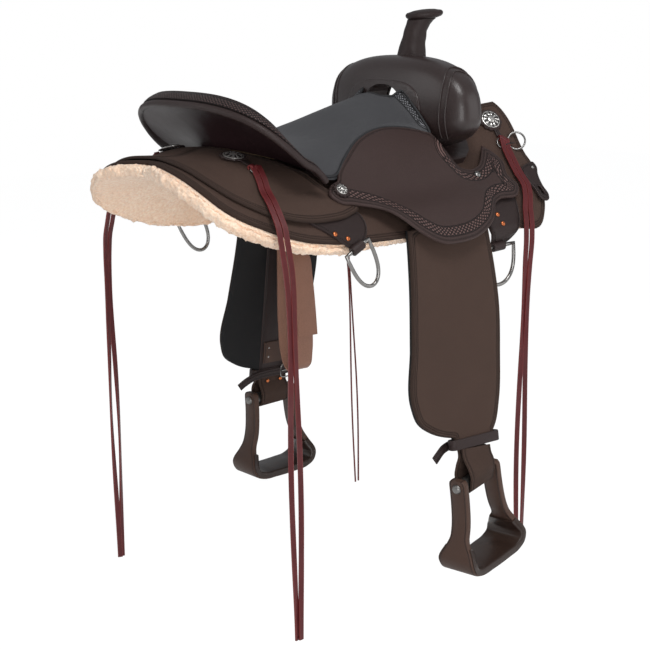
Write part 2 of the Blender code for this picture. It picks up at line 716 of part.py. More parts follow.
def make_cantle():
    """Cantle core, the glossy cover of its back and the rolled rim with its band."""
    stations = [k / 13 for k in range(-13, 14)]
    back, core, roll, bed = [], [], [], []
    for t in stations:
        foot, up, inward, tall = cantle_frame(t)
        roll.append(rim_section(t))
        bed.append(rim_bed(t))
        if abs(t) > CANTLE_REACH:
            continue
        hollow = 0.010 * (1 - step(abs(t), 0.0, 0.6))
        thick = 0.016 * (1 - 0.45 * abs(t))
        top = tall - 0.002
        levels = (-0.004, top * 0.25, top * 0.5, top * 0.75, top)

        def at(height, depth):
            bow = hollow * math.sin(math.pi * min(max(height / top, 0.0), 1.0))
            return foot + up * height + inward * (depth + bow)

        back.append([at(v, 0.0) for v in levels] + [at(v, CANTLE_COVER) for v in reversed(levels)])
        if abs(t) > CORE_REACH:
            continue
        near = CANTLE_COVER + 3 * GAP
        deep = (-0.026,) + levels[1:]
        core.append([at(v, near) for v in deep] + [at(v, near + thick) for v in reversed(deep)])
    under = laid(lambda s, y: -0.015, lambda s, y: rear_jockey_top(s, y) + 0.0012)
    wide = [(-0.26, -0.36), (0.26, -0.36), (0.26, -0.05), (-0.26, -0.05)]
    above_jockeys = pattern("jockey_clearance", wide, under, "wood", folder="cutters")
    bars = laid(lambda s, y: -0.015, lambda s, y: BAR_TOP + 0.0012)
    above_bars = pattern("bar_clearance", wide, bars, "wood", folder="cutters")
    beside = laid(lambda s, y: -0.015, lambda s, y: side_jockey_top(s, y) + 0.0012)
    corner = [(0.10, -0.145), (0.22, -0.145), (0.22, -0.02), (0.10, -0.02)]
    seats = field(lambda x, y: seat_under(x, y) - 0.0035, lambda x, y: seat_top(x, y) + 0.25)
    half = seat_outline(0.0018, RIM_SHARES)[:-4]
    outline = half + [(-x, y) for x, y in reversed(half[1:])]
    hollow_of_seat = pattern("seat_clearance", through(outline, 0.020, closed=True), seats, "wood",
                             (SEAT_STEP, SEAT_STEP), "cutters")
    skin = loft("cantle_back", back, "dark_leather")
    block = loft("cantle_core", core, "wood")
    rim = loft("cantle_roll", roll, "dark_leather")
    rim_space = loft("rim_clearance", bed, "wood", folder="cutters")
    boolean(skin, rim_space, "DIFFERENCE")
    boolean(block, rim_space, "DIFFERENCE")
    boolean(skin, above_jockeys, "DIFFERENCE")
    boolean(block, above_bars, "DIFFERENCE")
    for label, side in SIDES.items():
        tip = pattern(f"tip_clearance_{label}", mirrored(corner, side), beside, "wood", folder="cutters")
        for body in (skin, block, rim):
            boolean(body, tip, "DIFFERENCE")
        edge = through(REAR_JOCKEY_EDGE, 0.022, closed=True, corners=REAR_JOCKEY_CORNERS)
        spread = [(s + 0.0005, y + (0.0010 if y > -0.25 else 0)) for s, y in edge]
        cutter = pattern(f"jockey_bed_{label}", mirrored(spread, side), under, "wood", folder="cutters")
        boolean(block, cutter, "DIFFERENCE")
    boolean(block, hollow_of_seat, "DIFFERENCE")
    boolean(skin, hollow_of_seat, "DIFFERENCE")


def rim_section(t):
    """Ring of the rim: a roll at the outer edge and a flat band up to the seat."""
    outer, inner = rim_point(t), rim_inner(t)
    band = inner - outer
    band_out = band.normalized()
    face = (rim_point(t + 0.02) - rim_point(t - 0.02)).cross(band_out).normalized()
    ring = []
    for turn in (150, 110, 70, 20):
        a = math.radians(turn)
        ring.append(outer + band_out * (RIM_ROLL * 0.55) * (1 + math.cos(a)) * 0.5
                    + face * RIM_ROLL * 0.55 * (math.sin(a) - 0.4))
    ring += [outer + band * 0.55 + face * 0.0055, inner + face * 0.001, inner - face * 0.004,
             outer + band * 0.5 - face * 0.0035, outer + band * 0.18 - face * RIM_ROLL * 0.55,
             outer - band_out * 0.001 - face * RIM_ROLL * 0.6]
    return ring


def rim_bed(t):
    """Ring of the space that the rim takes over the cantle's core, open upwards."""
    outer, inner = rim_point(t), rim_inner(t)
    band = inner - outer
    band_out = band.normalized()
    face = (rim_point(t + 0.02) - rim_point(t - 0.02)).cross(band_out).normalized()
    room = 0.0016
    under = [outer - band_out * 0.004 - face * (RIM_ROLL * 0.6 + room),
             outer + band * 0.18 - face * (RIM_ROLL * 0.55 + room), outer + band * 0.5 - face * (0.0035 + room),
             inner - face * (0.004 + room) + band_out * 0.0012]
    rise = Vector((0, 0, 0.04))
    return under + [under[-1] + rise, under[0] + rise - band_out * 0.01]


def hanger_frame(side):
    """Frame of the hanging plane: X out, Y forwards, Z up the plane, origin at the pivot."""
    origin = Vector((side * HANGER_X, HANGER_Y, HANGER_Z))
    lean = Matrix.Rotation(-HANGER_LEAN, 4, "Y")
    mirror = Matrix.Scale(side, 4, (1, 0, 0))
    return Matrix.Translation(origin) @ mirror @ lean


def in_hanger(side, out, y, run):
    """World point at a distance out of the hanging plane, a station and a run down it."""
    return hanger_frame(side) @ Vector((out, y - HANGER_Y, -run))


FENDER_EDGE = [(-0.007, 0.027), (0.089, 0.016), (0.165, 0.025), (0.169, 0.060), (0.174, 0.110), (0.176, 0.165),
               (0.168, 0.246), (0.154, 0.330), (0.141, 0.366), (0.134, 0.376), (0.133, 0.395), (0.046, 0.395),
               (0.0465, 0.374), (0.030, 0.370), (-0.001, 0.357), (-0.024, 0.339), (-0.034, 0.310),
               (-0.023, 0.216), (-0.012, 0.121), (-0.008, 0.060)]
FENDER_CORNERS = (0, 2, 9, 10, 11, 12)


def make_hangers():
    """Fenders with their linings, stirrup leathers, loops and hobble straps."""
    centre = HANGER_Y
    for label, side in SIDES.items():
        edge = through(FENDER_EDGE, 0.018, closed=True, corners=FENDER_CORNERS)
        shorter = NECK_RUN[label] / NECK_RUN["right"]

        def sheet(low, high, rim, name, finish, folder="trail_saddle"):
            def place(y, run, level):
                return in_hanger(side, low + (high - low) * level, y, run * shorter)
            return pattern(name, rim, place, finish, (1.0, 1.0), folder)

        sheet(LINING + GAP, LINING + GAP + FENDER, edge, f"fender_{label}", "cordura")
        lining = sheet(0.0, LINING, edge, f"fender_lining_{label}", "neoprene")
        half = STRAP_WIDTH / 2
        strap = [(centre - half, STRAP_SHOULDER), (centre + half, STRAP_SHOULDER), (centre + half, NECK_RUN["right"]),
                 (centre - half, NECK_RUN["right"])]
        crown = [(centre + half * math.cos(a), STRAP_SHOULDER - half * math.sin(a))
                 for a in (math.pi * k / 8 for k in range(1, 8))]
        rim = [strap[0]] + list(reversed(crown)) + strap[1:]
        sheet(LINING - STRAP - GAP, LINING - GAP, rim, f"stirrup_leather_{label}", "dark_leather")
        wide = half + 0.0006
        groove = [(centre - wide, -0.02), (centre + wide, -0.02), (centre + wide, 0.42), (centre - wide, 0.42)]
        cutter = sheet(LINING - STRAP - 2 * GAP, LINING + 0.01, groove, f"groove_cutter_{label}", "wood", "cutters")
        boolean(lining, cutter, "DIFFERENCE")
        make_loop(label, side)
        make_hobble(label, side)


def bolt_frame(label, side):
    """Frame of the stirrup bolt: Y along the bolt to the front, Z up, X out."""
    place = in_hanger(side, 0.004, HANGER_Y, BOLT_RUN[label])
    tilt = Matrix.Rotation(BOLT_TILT[label], 4, "X")
    yaw = Matrix.Rotation(BOLT_YAW[label] * side, 4, "Z")
    return Matrix.Translation(place) @ yaw @ tilt


def make_loop(label, side):
    """Leather loop that the stirrup bolt hangs in, twisted to follow the bolt."""
    reach = BOLT_RUN[label] - NECK_RUN[label]
    bend = ROLLER_RADIUS + 0.0010 + LOOP_THICKNESS / 2
    around = [math.pi * k / 8 for k in range(9)]
    path = [(0.0085, -reach + 0.0008), (0.0095, -reach * 0.78), (0.0160, -reach * 0.48), (0.0175, -reach * 0.24)]
    path += [(bend * math.cos(a), bend * math.sin(a)) for a in around]
    path += [(-0.0165, -reach * 0.24), (-0.0125, -reach * 0.48), (-0.0035, -reach * 0.78), (-0.0012, -reach + 0.0008)]
    bolt = bolt_frame(label, side)
    points, shares = [], []
    for out, down in path:
        hung = in_hanger(side, out + 0.004, HANGER_Y, BOLT_RUN[label] + down)
        turned_point = bolt @ Vector((out * side, 0, -down))
        share = step(down, -reach, -0.01)
        points.append(hung.lerp(turned_point, share))
        shares.append(share)
    straight, along = Vector((0, 1, 0)), bolt.to_3x3() @ Vector((0, 1, 0))

    def across(t):
        k = t * (len(points) - 1)
        i = min(int(k), len(points) - 2)
        share = shares[i] + (shares[i + 1] - shares[i]) * (k - i)
        return straight.lerp(along, share)
    ribbon(f"stirrup_loop_{label}", points, across, LOOP_WIDTH, LOOP_THICKNESS, "cordura")


def make_hobble(label, side):
    """Hobble strap round the fender's neck, with its free end and a keeper buckle plate."""
    low, high = NECK_RUN[label] - 0.018, NECK_RUN[label] - 0.001
    y0, y1 = HANGER_Y - 0.0475, HANGER_Y + 0.0535
    inner, outer = -0.0012, LINING + GAP + FENDER + 0.0008
    corner = 0.004
    ring = [(inner, y0 + corner), (inner + corner * 0.3, y0 + corner * 0.3), (inner + corner, y0),
            (outer - corner, y0), (outer - corner * 0.3, y0 + corner * 0.3), (outer, y0 + corner),
            (outer, y1 - corner), (outer - corner * 0.3, y1 - corner * 0.3), (outer - corner, y1),
            (inner + corner, y1), (inner + corner * 0.3, y1 - corner * 0.3), (inner, y1 - corner)]
    middle = Vector(((inner + outer) / 2, (y0 + y1) / 2))
    thick = 0.0028
    rings = []
    for out, y in ring:
        away = Vector((math.copysign(thick, out - middle.x) if y0 < y < y1 else 0,
                       math.copysign(thick, y - middle.y) if inner < out < outer else 0))
        rings.append([in_hanger(side, out, y, low), in_hanger(side, out + away.x, y + away.y, low),
                      in_hanger(side, out + away.x, y + away.y, high), in_hanger(side, out, y, high)])
    loft(f"hobble_strap_{label}", rings, "dark_leather", closed=True)


def make_stirrups():
    """Bell shaped stirrups with their tread pads and bolts."""
    half = [(STIRRUP_NECK, 0.014), (STIRRUP_NECK, 0.0), (STIRRUP_NECK + 0.001, -0.030),
            (STIRRUP_NECK + 0.006, -0.068), (STIRRUP_HALF_WIDTH - 0.008, -0.104),
            (STIRRUP_HALF_WIDTH - 0.001, -0.124), (STIRRUP_HALF_WIDTH - 0.006, -0.138),
            (STIRRUP_HALF_WIDTH - 0.022, -STIRRUP_HEIGHT + 0.002), (0.022, -STIRRUP_HEIGHT)]
    points = half + [(-y, z) for y, z in reversed(half)]
    line = through(points, 0.016)
    for label, side in SIDES.items():
        bolt = bolt_frame(label, side)
        rings = []
        for i, p in enumerate(line):
            ahead = line[min(i + 1, len(line) - 1)] - line[max(i - 1, 0)]
            ahead = ahead / np.linalg.norm(ahead)
            inward = np.array([ahead[1], -ahead[0]])
            wide = BRANCH_DEPTH + (TREAD_DEPTH - BRANCH_DEPTH) * step(-p[1], 0.075, 0.128)
            wall = STIRRUP_WALL / 2
            corners = ((-1, -1), (1, -1), (1, 1), (-1, 1))
            rings.append([bolt @ Vector((a * wide / 2, p[0] + inward[0] * wall * b, p[1] + inward[1] * wall * b))
                          for a, b in corners])
        frame = loft(f"stirrup_{label}", rings, "stirrup_leather")
        bore = turned(f"bolt_bore_{label}", [(BOLT_RADIUS + GAP, -0.1), (BOLT_RADIUS + GAP, 0.1)],
                      bolt @ Matrix.Rotation(-math.pi / 2, 4, "X"), "wood", 16, "cutters")
        boolean(frame, bore, "DIFFERENCE")
        outside = STIRRUP_NECK + STIRRUP_WALL / 2 + GAP
        inside = STIRRUP_NECK - STIRRUP_WALL / 2 - GAP
        profile = [(0.002, -outside - 0.0050), (0.0065, -outside - 0.0040), (0.0085, -outside),
                   (BOLT_RADIUS, -outside), (BOLT_RADIUS, -inside), (ROLLER_RADIUS, -inside),
                   (ROLLER_RADIUS, inside), (BOLT_RADIUS, inside), (BOLT_RADIUS, outside), (0.0085, outside),
                   (0.0065, outside + 0.0040), (0.002, outside + 0.0050)]
        turned(f"stirrup_bolt_{label}", profile, bolt @ Matrix.Rotation(-math.pi / 2, 4, "X"), "steel", 16)
        top = -STIRRUP_HEIGHT + STIRRUP_WALL / 2 + 0.0010
        pad = 0.003
        reach = STIRRUP_HALF_WIDTH - 0.040
        rings = [[bolt @ Vector((a * TREAD_DEPTH * 0.48, y, z)) for a, z in
                  ((-1, top), (1, top), (1, top + pad), (-1, top + pad))] for y in (-reach, reach)]
        loft(f"stirrup_tread_{label}", rings, "dark_leather")


def dee_points(width, depth, count=9):
    """Flat D in the plane of X (the bar) and -Z, bar centred on the origin."""
    points = [Vector((-width / 2, 0, 0)), Vector((0, 0, 0)), Vector((width / 2, 0, 0))]
    for k in range(1, count):
        a = math.pi * k / count
        points.append(Vector((width / 2 * math.cos(a), 0, -depth * math.sin(a) ** 0.6)))
    return points


def hang_frame(centre, bar):
    """Frame for what hangs from a bar: X along it, Z up as far as the bar allows."""
    along = bar.normalized()
    up = (Vector((0, 0, 1)) - along * along.z).normalized()
    return Matrix.Translation(centre) @ Matrix((along, up.cross(along), up)).transposed().to_4x4()


REAR_DEE_AT, REAR_DEE_BAR = (0.251, -0.118), (-0.5, 0.86)
FRONT_RING_AT, FRONT_RING_BAR = (0.2765, 0.199), (0.0, 1.0)
TUCK_STEP = 0.0075


def front_plate_rise(s, y):
    """Lift of the front rig plate's under face: over the skirt, then bent in behind the fender."""
    return BAR_UNDER + wither_rise(s, y) - 0.0230 * step(abs(s), 0.2585, 0.2790)


def bar_on_plate(rule, spot, bar, side, lift):
    """Centre and direction of a bar that lies on a laid plate."""
    s, y = spot[0] * side, spot[1]
    on = frame_on(rule, s, y, 1.0, lift)
    centre = on.translation
    reach = 0.005
    ahead = rule(s + bar[0] * side * reach, y + bar[1] * reach, 1.0) - rule(s, y, 1.0)
    return centre, Vector((0, ahead.y, ahead.z)).normalized()


def make_rigging():
    """Rig plates with the sleeves that hold the dees and rings."""
    rear_rule = laid(lambda s, y: BAR_UNDER, lambda s, y: BAR_UNDER + PLATE)
    front_rule = laid(front_plate_rise, lambda s, y: front_plate_rise(s, y) + PLATE, TUCK_STEP)
    for label, side in SIDES.items():
        rear = pattern(f"rear_rig_plate_{label}", smooth(REAR_PLATE_EDGE, (), side), rear_rule, "dark_leather")
        front = pattern(f"front_rig_plate_{label}", smooth(FRONT_PLATE_EDGE, (), side), front_rule,
                        "dark_leather", (TUCK_STEP, Y_STEP))
        for plate, rule, spot, bar, wire_radius, length in (
                (rear, rear_rule, REAR_DEE_AT, REAR_DEE_BAR, DEE_WIRE, 0.024),
                (front, front_rule, FRONT_RING_AT, FRONT_RING_BAR, RING_WIRE, 0.026)):
            centre, along = bar_on_plate(rule, spot, bar, side, 0.003)
            frame = hang_frame(centre, along) @ Matrix.Rotation(math.pi / 2, 4, "Y")
            sleeve = turned(f"{plate.name}_sleeve", [(0.0078, -length / 2), (0.0078, length / 2)], frame,
                            "dark_leather", 16, "cutters")
            bore = turned(f"{plate.name}_bore", [(wire_radius + 0.0006, -0.03), (wire_radius + 0.0006, 0.03)],
                          frame, "wood", 12, "cutters")
            boolean(plate, sleeve, "UNION")
            boolean(plate, bore, "DIFFERENCE")
        centre, along = bar_on_plate(rear_rule, REAR_DEE_AT, REAR_DEE_BAR, side, 0.003)
        hung = hang_frame(centre, along)
        wire(f"rear_dee_{label}", [hung @ p for p in dee_points(DEE_WIDTH, DEE_DEPTH)], DEE_WIRE, "steel", True)
        centre, along = bar_on_plate(front_rule, FRONT_RING_AT, FRONT_RING_BAR, side, 0.003)
        hung = hang_frame(centre, along)
        wire(f"front_ring_{label}", [hung @ p for p in dee_points(2 * RING_RADIUS, RING_DEPTH, 12)], RING_WIRE, "steel", True)


def make_conchos():
    """Conchos of the four string sets, each one body with the leather rosette under it."""
    rear = laid(rear_jockey_under, rear_jockey_top)
    skirts = laid(lambda s, y: 0.0, lambda s, y: SKIRT_TOP + wither_rise(s, y))
    spots = [(rear, 0.077, -0.243, "rear"), (skirts, 0.076, 0.302, "front")]
    for label, side in SIDES.items():
        for rule, s, y, place in spots:
            on = frame_on(rule, s * side, y, 1.0, 0.0010)
            r = CONCHO_RADIUS
            profile = [(r + 0.004, 0.0), (r + 0.004, 0.0022), (r, 0.0024), (r, 0.0036),
                       (r * 0.7, 0.0052), (0.002, 0.0058)]
            turned(f"{place}_concho_{label}", profile, on, "steel", 20)


REAR_STRING = [(0.136, -0.231, 0.029), (0.158, -0.236, 0.011), (0.174, -0.241, -0.005), (0.194, -0.245, -0.019),
               (0.211, -0.248, -0.036), (0.225, -0.250, -0.054), (0.234, -0.252, -0.075),
               (0.240, -0.253, -0.095), (0.246, -0.254, -0.115), (0.250, -0.254, -0.145),
               (0.252, -0.254, -0.200), (0.252, -0.253, -0.350), (0.252, -0.252, -0.520), (0.252, -0.252, -0.705)]
FRONT_STRING = [(0.124, 0.306, 0.031), (0.133, 0.302, 0.017), (0.148, 0.298, 0.001), (0.172, 0.292, -0.022),
                (0.198, 0.286, -0.043), (0.212, 0.276, -0.060), (0.224, 0.264, -0.077), (0.237, 0.254, -0.097),
                (0.244, 0.248, -0.125), (0.243, 0.246, -0.165), (0.237, 0.247, -0.260), (0.231, 0.248, -0.400),
                (0.227, 0.249, -0.540), (0.225, 0.250, -0.668)]
LEFT_REAR_SHIFT = -0.018
STRING_SPREAD = 0.011


def make_strings():
    """Saddle strings: two tails hang from each of the four conchos."""
    for label, side in SIDES.items():
        for place, route in (("rear", REAR_STRING), ("front", FRONT_STRING)):
            for tail in (0, 1):
                shift = -tail * STRING_SPREAD if place == "rear" else tail * STRING_SPREAD
                points = [(x * side, y + shift, z) for x, y, z in route]
                if place == "rear" and side < 0:
                    points = [(x, y + LEFT_REAR_SHIFT * step(-x, 0.15, 0.22), z) for x, y, z in points]
                run = through(points, 3 * STRING_WIDTH)
                name = f"{place}_string_{label}_{tail + 1}"
                wire(name, run, STRING_WIDTH / 2, "string_leather")


def make_latigo():
    """Tie strap that hangs folded inside the left fender, from under the skirt's edge."""
    x, y, top = LATIGO_AT
    down = [(0.0, 0.0), (-0.001, -0.060), (-0.002, -0.140), (-0.002, -0.220), (0.000, -0.292)]
    first_fold = [(0.0045, -0.302), (0.009, -0.305), (0.0135, -0.302)]
    back_up = [(0.018, -0.290), (0.018, -0.220), (0.017, -0.160)]
    second_fold = [(0.0215, -0.149), (0.026, -0.146), (0.0305, -0.149)]
    end = [(0.035, -0.160), (0.036, -0.210), (0.037, -0.262)]
    path = [(x + inward, y, top + fall) for inward, fall in down + first_fold + back_up + second_fold + end]
    ribbon("latigo", path, lambda t: Vector((0, 1, 0)), LATIGO_WIDTH, LATIGO, "latigo_leather")


def pivot(name, place, pieces, parent=None):
    """Empty on a joint's axis, which carries the pieces that move about it."""
    empty = bpy.data.objects.new(name, None)
    empty.empty_display_size = 0.03
    collection("trail_saddle").objects.link(empty)
    if parent:
        empty.parent = parent
        empty.matrix_parent_inverse = parent.matrix_basis.inverted()
    empty.matrix_basis = place
    for piece in pieces:
        bpy.data.objects[piece].parent = empty
        bpy.data.objects[piece].matrix_parent_inverse = place.inverted()
    return empty


def make_upper_straps():
    """Fixed upper lengths of the stirrup leathers, from the tree bars down to the fenders."""
    rule = laid(BAR_UNDER, BAR_UNDER + STRAP)
    for label, side in SIDES.items():
        half = STRAP_WIDTH / 2
        edge = [(0.116, HANGER_Y - half), (0.200, HANGER_Y - half), (0.200, HANGER_Y + half),
                (0.116, HANGER_Y + half)]
        pattern(f"upper_strap_{label}", mirrored(edge, side), rule, "dark_leather")


def make_pivots():
    """Empties on the axes of the fenders, stirrups, dees and front rings."""
    rear_rule = laid(lambda s, y: BAR_UNDER, lambda s, y: BAR_UNDER + PLATE)
    front_rule = laid(front_plate_rise, lambda s, y: front_plate_rise(s, y) + PLATE, TUCK_STEP)
    for label, side in SIDES.items():
        lean = Matrix.Rotation(-HANGER_LEAN * side, 4, "Y")
        hinge = Matrix.Translation((side * HANGER_X, HANGER_Y, HANGER_Z)) @ lean
        hung = [f"{name}_{label}" for name in
                ("fender", "fender_lining", "stirrup_leather", "stirrup_loop", "hobble_strap")]
        fender = pivot(f"fender_pivot_{label}", hinge, hung)
        swung = [f"{name}_{label}" for name in ("stirrup", "stirrup_tread", "stirrup_bolt")]
        pivot(f"stirrup_pivot_{label}", bolt_frame(label, side), swung, fender)
        centre, along = bar_on_plate(rear_rule, REAR_DEE_AT, REAR_DEE_BAR, side, 0.003)
        pivot(f"rear_dee_pivot_{label}", hang_frame(centre, along), [f"rear_dee_{label}"])
        centre, along = bar_on_plate(front_rule, FRONT_RING_AT, FRONT_RING_BAR, side, 0.003)
        pivot(f"front_ring_pivot_{label}", hang_frame(centre, along), [f"front_ring_{label}"])
    pivot("latigo_pivot", Matrix.Translation(LATIGO_AT), ["latigo"])


def clear_scene():
    """Removes what an earlier run or the startup file left."""
    for obj in list(bpy.data.objects):
        bpy.data.objects.remove(obj)


clear_scene()
make_lining_and_skirts()
make_jockeys()
make_fork()
make_seat()
make_cantle()
make_hangers()
make_stirrups()
make_rigging()
make_conchos()
make_upper_straps()
make_strings()
make_latigo()
make_pivots()
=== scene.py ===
"""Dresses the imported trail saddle: cordura, leather, fleece, laces and hardware.

Frame: +Y points to the horse's head, +X to the saddle's right side, +Z up, all in metres.
"""
import json
import math
from functools import lru_cache

import bmesh
import bpy
import numpy as np
from mathutils import Matrix, Vector, noise


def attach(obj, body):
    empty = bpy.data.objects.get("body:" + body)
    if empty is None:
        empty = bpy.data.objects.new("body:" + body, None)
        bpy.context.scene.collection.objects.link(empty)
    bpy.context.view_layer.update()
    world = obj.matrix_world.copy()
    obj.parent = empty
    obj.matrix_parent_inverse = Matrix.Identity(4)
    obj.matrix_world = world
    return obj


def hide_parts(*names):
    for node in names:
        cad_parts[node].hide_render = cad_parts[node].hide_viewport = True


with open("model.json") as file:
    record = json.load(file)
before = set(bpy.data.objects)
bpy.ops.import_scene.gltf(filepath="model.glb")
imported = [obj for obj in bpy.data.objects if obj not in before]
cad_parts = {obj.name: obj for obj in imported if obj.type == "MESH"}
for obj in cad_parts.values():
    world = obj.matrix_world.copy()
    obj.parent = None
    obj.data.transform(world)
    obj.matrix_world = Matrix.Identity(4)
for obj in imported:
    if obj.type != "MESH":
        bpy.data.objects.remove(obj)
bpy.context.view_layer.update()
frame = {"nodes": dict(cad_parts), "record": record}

bl_info = {
    "name": "Trail Saddle",
    "version": (1, 0, 0),
    "blender": (4, 5, 0),
    "location": "View3D > Sidebar > Saddle",
    "description": "Dresses a trail saddle in cordura, leather, fleece and steel",
    "category": "Add Mesh",
}

SIDES = {"right": 1, "left": -1}

# Back form, the shape that the saddle sits on
BACK_HALF_WIDTH = 0.235
BACK_DROP, BACK_DROP_SLOPE = 0.240, 0.045
BACK_POWER, BACK_POWER_SLOPE = 2.05, 0.9
REAR_REACH, REAR_RISE = 0.380, 0.013
FRONT_REACH, FRONT_RISE = 0.375, 0.038
WITHER_RISE = 0.048

# Layers over the back form
GAP = 0.0004
FLEECE = 0.018
SKIRT = 0.006
BAR = 0.012
PLATE = 0.005
JOCKEY = 0.0045
SEAT = 0.011
UNDER_JOCKEY = 0.012
LOBE_FLARE = 0.016
SKIRT_UNDER = FLEECE + GAP
SKIRT_TOP = SKIRT_UNDER + SKIRT
BAR_UNDER = SKIRT_TOP + GAP
BAR_TOP = BAR_UNDER + BAR

# Fork and horn
FORK_Y, FORK_Z = 0.186, 0.078
FORK_HALF_WIDTH, FORK_HALF_DEPTH = 0.178, 0.050
FORK_CROWN, FORK_FOOT, FORK_COVER = 0.100, 0.062, 0.004
FORK_PLAN_POWER, FORK_CROWN_POWER, FORK_FOOT_POWER = 3.0, 2.6, 2.2
GULLET_HALF_WIDTH, GULLET_TOP, GULLET_FOOT, GULLET_POWER = 0.096, 0.136, 0.060, 3.5
APRON_HALF_WIDTH, APRON_HEIGHT = 0.0975, 0.0775
WELT_SHARES, WELT_RADIUS = (0.66, 0.78), 0.0016
HORN_LINE = [((0, 0.198, 0.130), 0.040), ((0, 0.201, 0.156), 0.031), ((0, 0.205, 0.178), 0.0255),
             ((0, 0.209, 0.200), 0.0220), ((0, 0.214, 0.218), 0.0205), ((0, 0.221, 0.230), 0.0215),
             ((0, 0.226, 0.2368), 0.0235)]
HORN_CAP_AT, HORN_CAP_TILT, HORN_CAP_STRETCH = (0, 0.236, 0.2408), math.radians(6), 1.15

# Cantle rim
RIM_HALF_WIDTH, RIM_CENTRE_Y, RIM_DEPTH = 0.200, -0.175, 0.112
RIM_TOP, RIM_DROP, RIM_ROLL, RIM_BAND = 0.118, 0.115, 0.011, 0.032
RIM_TURN, RIM_POWER, RIM_FALL_POWER = math.radians(100), 2.62, 2.15
# Tooled band inside the roll: share of the band's width and rise over it, on its face and its back
RIM_FACE = ((0.30, 0.0050), (0.36, 0.0056), (0.55, 0.0058), (0.75, 0.0046), (0.92, 0.0030), (1.0, 0.0008))
RIM_BACK = ((0.96, -0.0035), (0.5, -0.0035), (0.2, -0.0055))
CANTLE_COVER, CANTLE_REACH, CANTLE_HOLLOW = 0.003, 0.89, 0.010

# Hanging plane of fender and stirrup leather
HANGER_LEAN = math.radians(8.4)
HANGER_X, HANGER_Y, HANGER_Z = 0.2174, 0.089, -0.060
LINING, FENDER, STRAP, STRAP_WIDTH, STRAP_SHOULDER = 0.006, 0.005, 0.004, 0.070, 0.038
LOOP_WIDTH, LOOP_THICKNESS = 0.062, 0.005
HOBBLE_REAR, HOBBLE_FRONT, HOBBLE_CORNER, HOBBLE_THICKNESS = 0.0475, 0.0535, 0.005, 0.0028
NECK_RUN = {"right": 0.395, "left": 0.377}
BOLT_RUN = {"right": 0.448, "left": 0.418}
BOLT_TILT = {"right": math.radians(10), "left": math.radians(3)}
BOLT_YAW = {"right": math.radians(9), "left": 0.0}

# Stirrup
STIRRUP_HEIGHT, STIRRUP_HALF_WIDTH, STIRRUP_NECK = 0.148, 0.072, 0.0445
BRANCH_DEPTH, TREAD_DEPTH, STIRRUP_WALL = 0.040, 0.072, 0.011
ROLLER_RADIUS, BOLT_RADIUS = 0.0105, 0.004

# Hardware
DEE_WIRE, DEE_WIDTH, DEE_DEPTH = 0.0032, 0.050, 0.070
RING_WIRE, RING_RADIUS, RING_DEPTH = 0.0034, 0.037, 0.066
CONCHO_RADIUS, JOCKEY_CONCHO_RADIUS = 0.017, 0.0095
STRING_RING_RADIUS, STRING_RING_WIRE = 0.0095, 0.0013
BREAST_DEE_RADIUS, BREAST_DEE_WIRE = 0.0155, 0.0017
LATIGO_AT = (-0.214, 0.085, -0.0996)

# Photograph's camera
CAMERA_AT = (2.0972, -1.6548, 0.3015)
CAMERA_YAW, CAMERA_PITCH, CAMERA_ROLL = math.radians(51.68), math.radians(12.22), math.radians(-0.87)
CAMERA_FOCAL_PX, PHOTO_SIDE_PX, SENSOR = 1575.4, 650, 36.0

# Section of a strap as shares of its half width and half thickness, and the places across it
STRAP_SHAPE = [(-1, -0.7), (-0.955, -1), (0, -1), (0.955, -1), (1, -0.7),
               (1, 0.7), (0.955, 1), (0, 1), (-0.955, 1), (-1, 0.7)]
STRAP_MARKS = (-1, -0.95, 0, 0.95, 1, 1, 0.95, 0, -0.95, -1)

# Stage; each lamp has its name, place, size and power
FLOOR_Z, FLOOR_HALF = -0.760, 6.0
FLOOR_GLOW, FLOOR_GLOW_SHARE = 1.12, 0.84
SKY_COLOUR, SKY_LIGHT = (0.95, 0.97, 1.0, 1), 0.38
LAMP_TARGET = (0, 0, -0.15)
LAMPS = (("key", (2.0, -0.6, 2.9), 1.4, 76), ("fill", (-1.6, -2.8, 1.4), 2.4, 26),
         ("front", (2.6, 2.4, 0.7), 2.2, 22), ("side", (3.0, -1.6, 0.1), 1.5, 40))

# Colours of what no setting changes
STEEL, DULL_STEEL, SILVER = (0.25, 0.243, 0.235), (0.20, 0.195, 0.188), (0.60, 0.585, 0.56)
NEOPRENE, HIDE = (0.0075, 0.0075, 0.008), (0.36, 0.25, 0.15)


def srgb(red, green, blue):
    """Linear colour of an 8 bit one."""
    def linear(value):
        value /= 255
        return value / 12.92 if value <= 0.04045 else ((value + 0.055) / 1.055) ** 2.4
    return linear(red), linear(green), linear(blue)


def step(value, low, high):
    """Smooth step from 0 at low to 1 at high."""
    t = min(max((value - low) / (high - low), 0.0), 1.0)
    return t * t * (3 - 2 * t)


def table(value, stations):
    """Smooth curve through (position, value) stations, held flat past both ends."""
    places = [place for place, _ in stations]
    if value <= places[0]:
        return stations[0][1]
    if value >= places[-1]:
        return stations[-1][1]
    i = max(k for k, place in enumerate(places) if place <= value)
    slopes = []
    for k in (i, i + 1):
        if 0 < k < len(places) - 1:
            before = (stations[k][1] - stations[k - 1][1]) / (places[k] - places[k - 1])
            after = (stations[k + 1][1] - stations[k][1]) / (places[k + 1] - places[k])
            slopes.append(0.0 if before * after <= 0 else 2 * before * after / (before + after))
        else:
            slopes.append(0.0)
    width = places[i + 1] - places[i]
    t = (value - places[i]) / width
    a, b = stations[i][1], stations[i + 1][1]
    return (a * (1 + 2 * t) * (1 - t) ** 2 + b * t * t * (3 - 2 * t)
            + width * (slopes[0] * t * (1 - t) ** 2 - slopes[1] * t * t * (1 - t)))


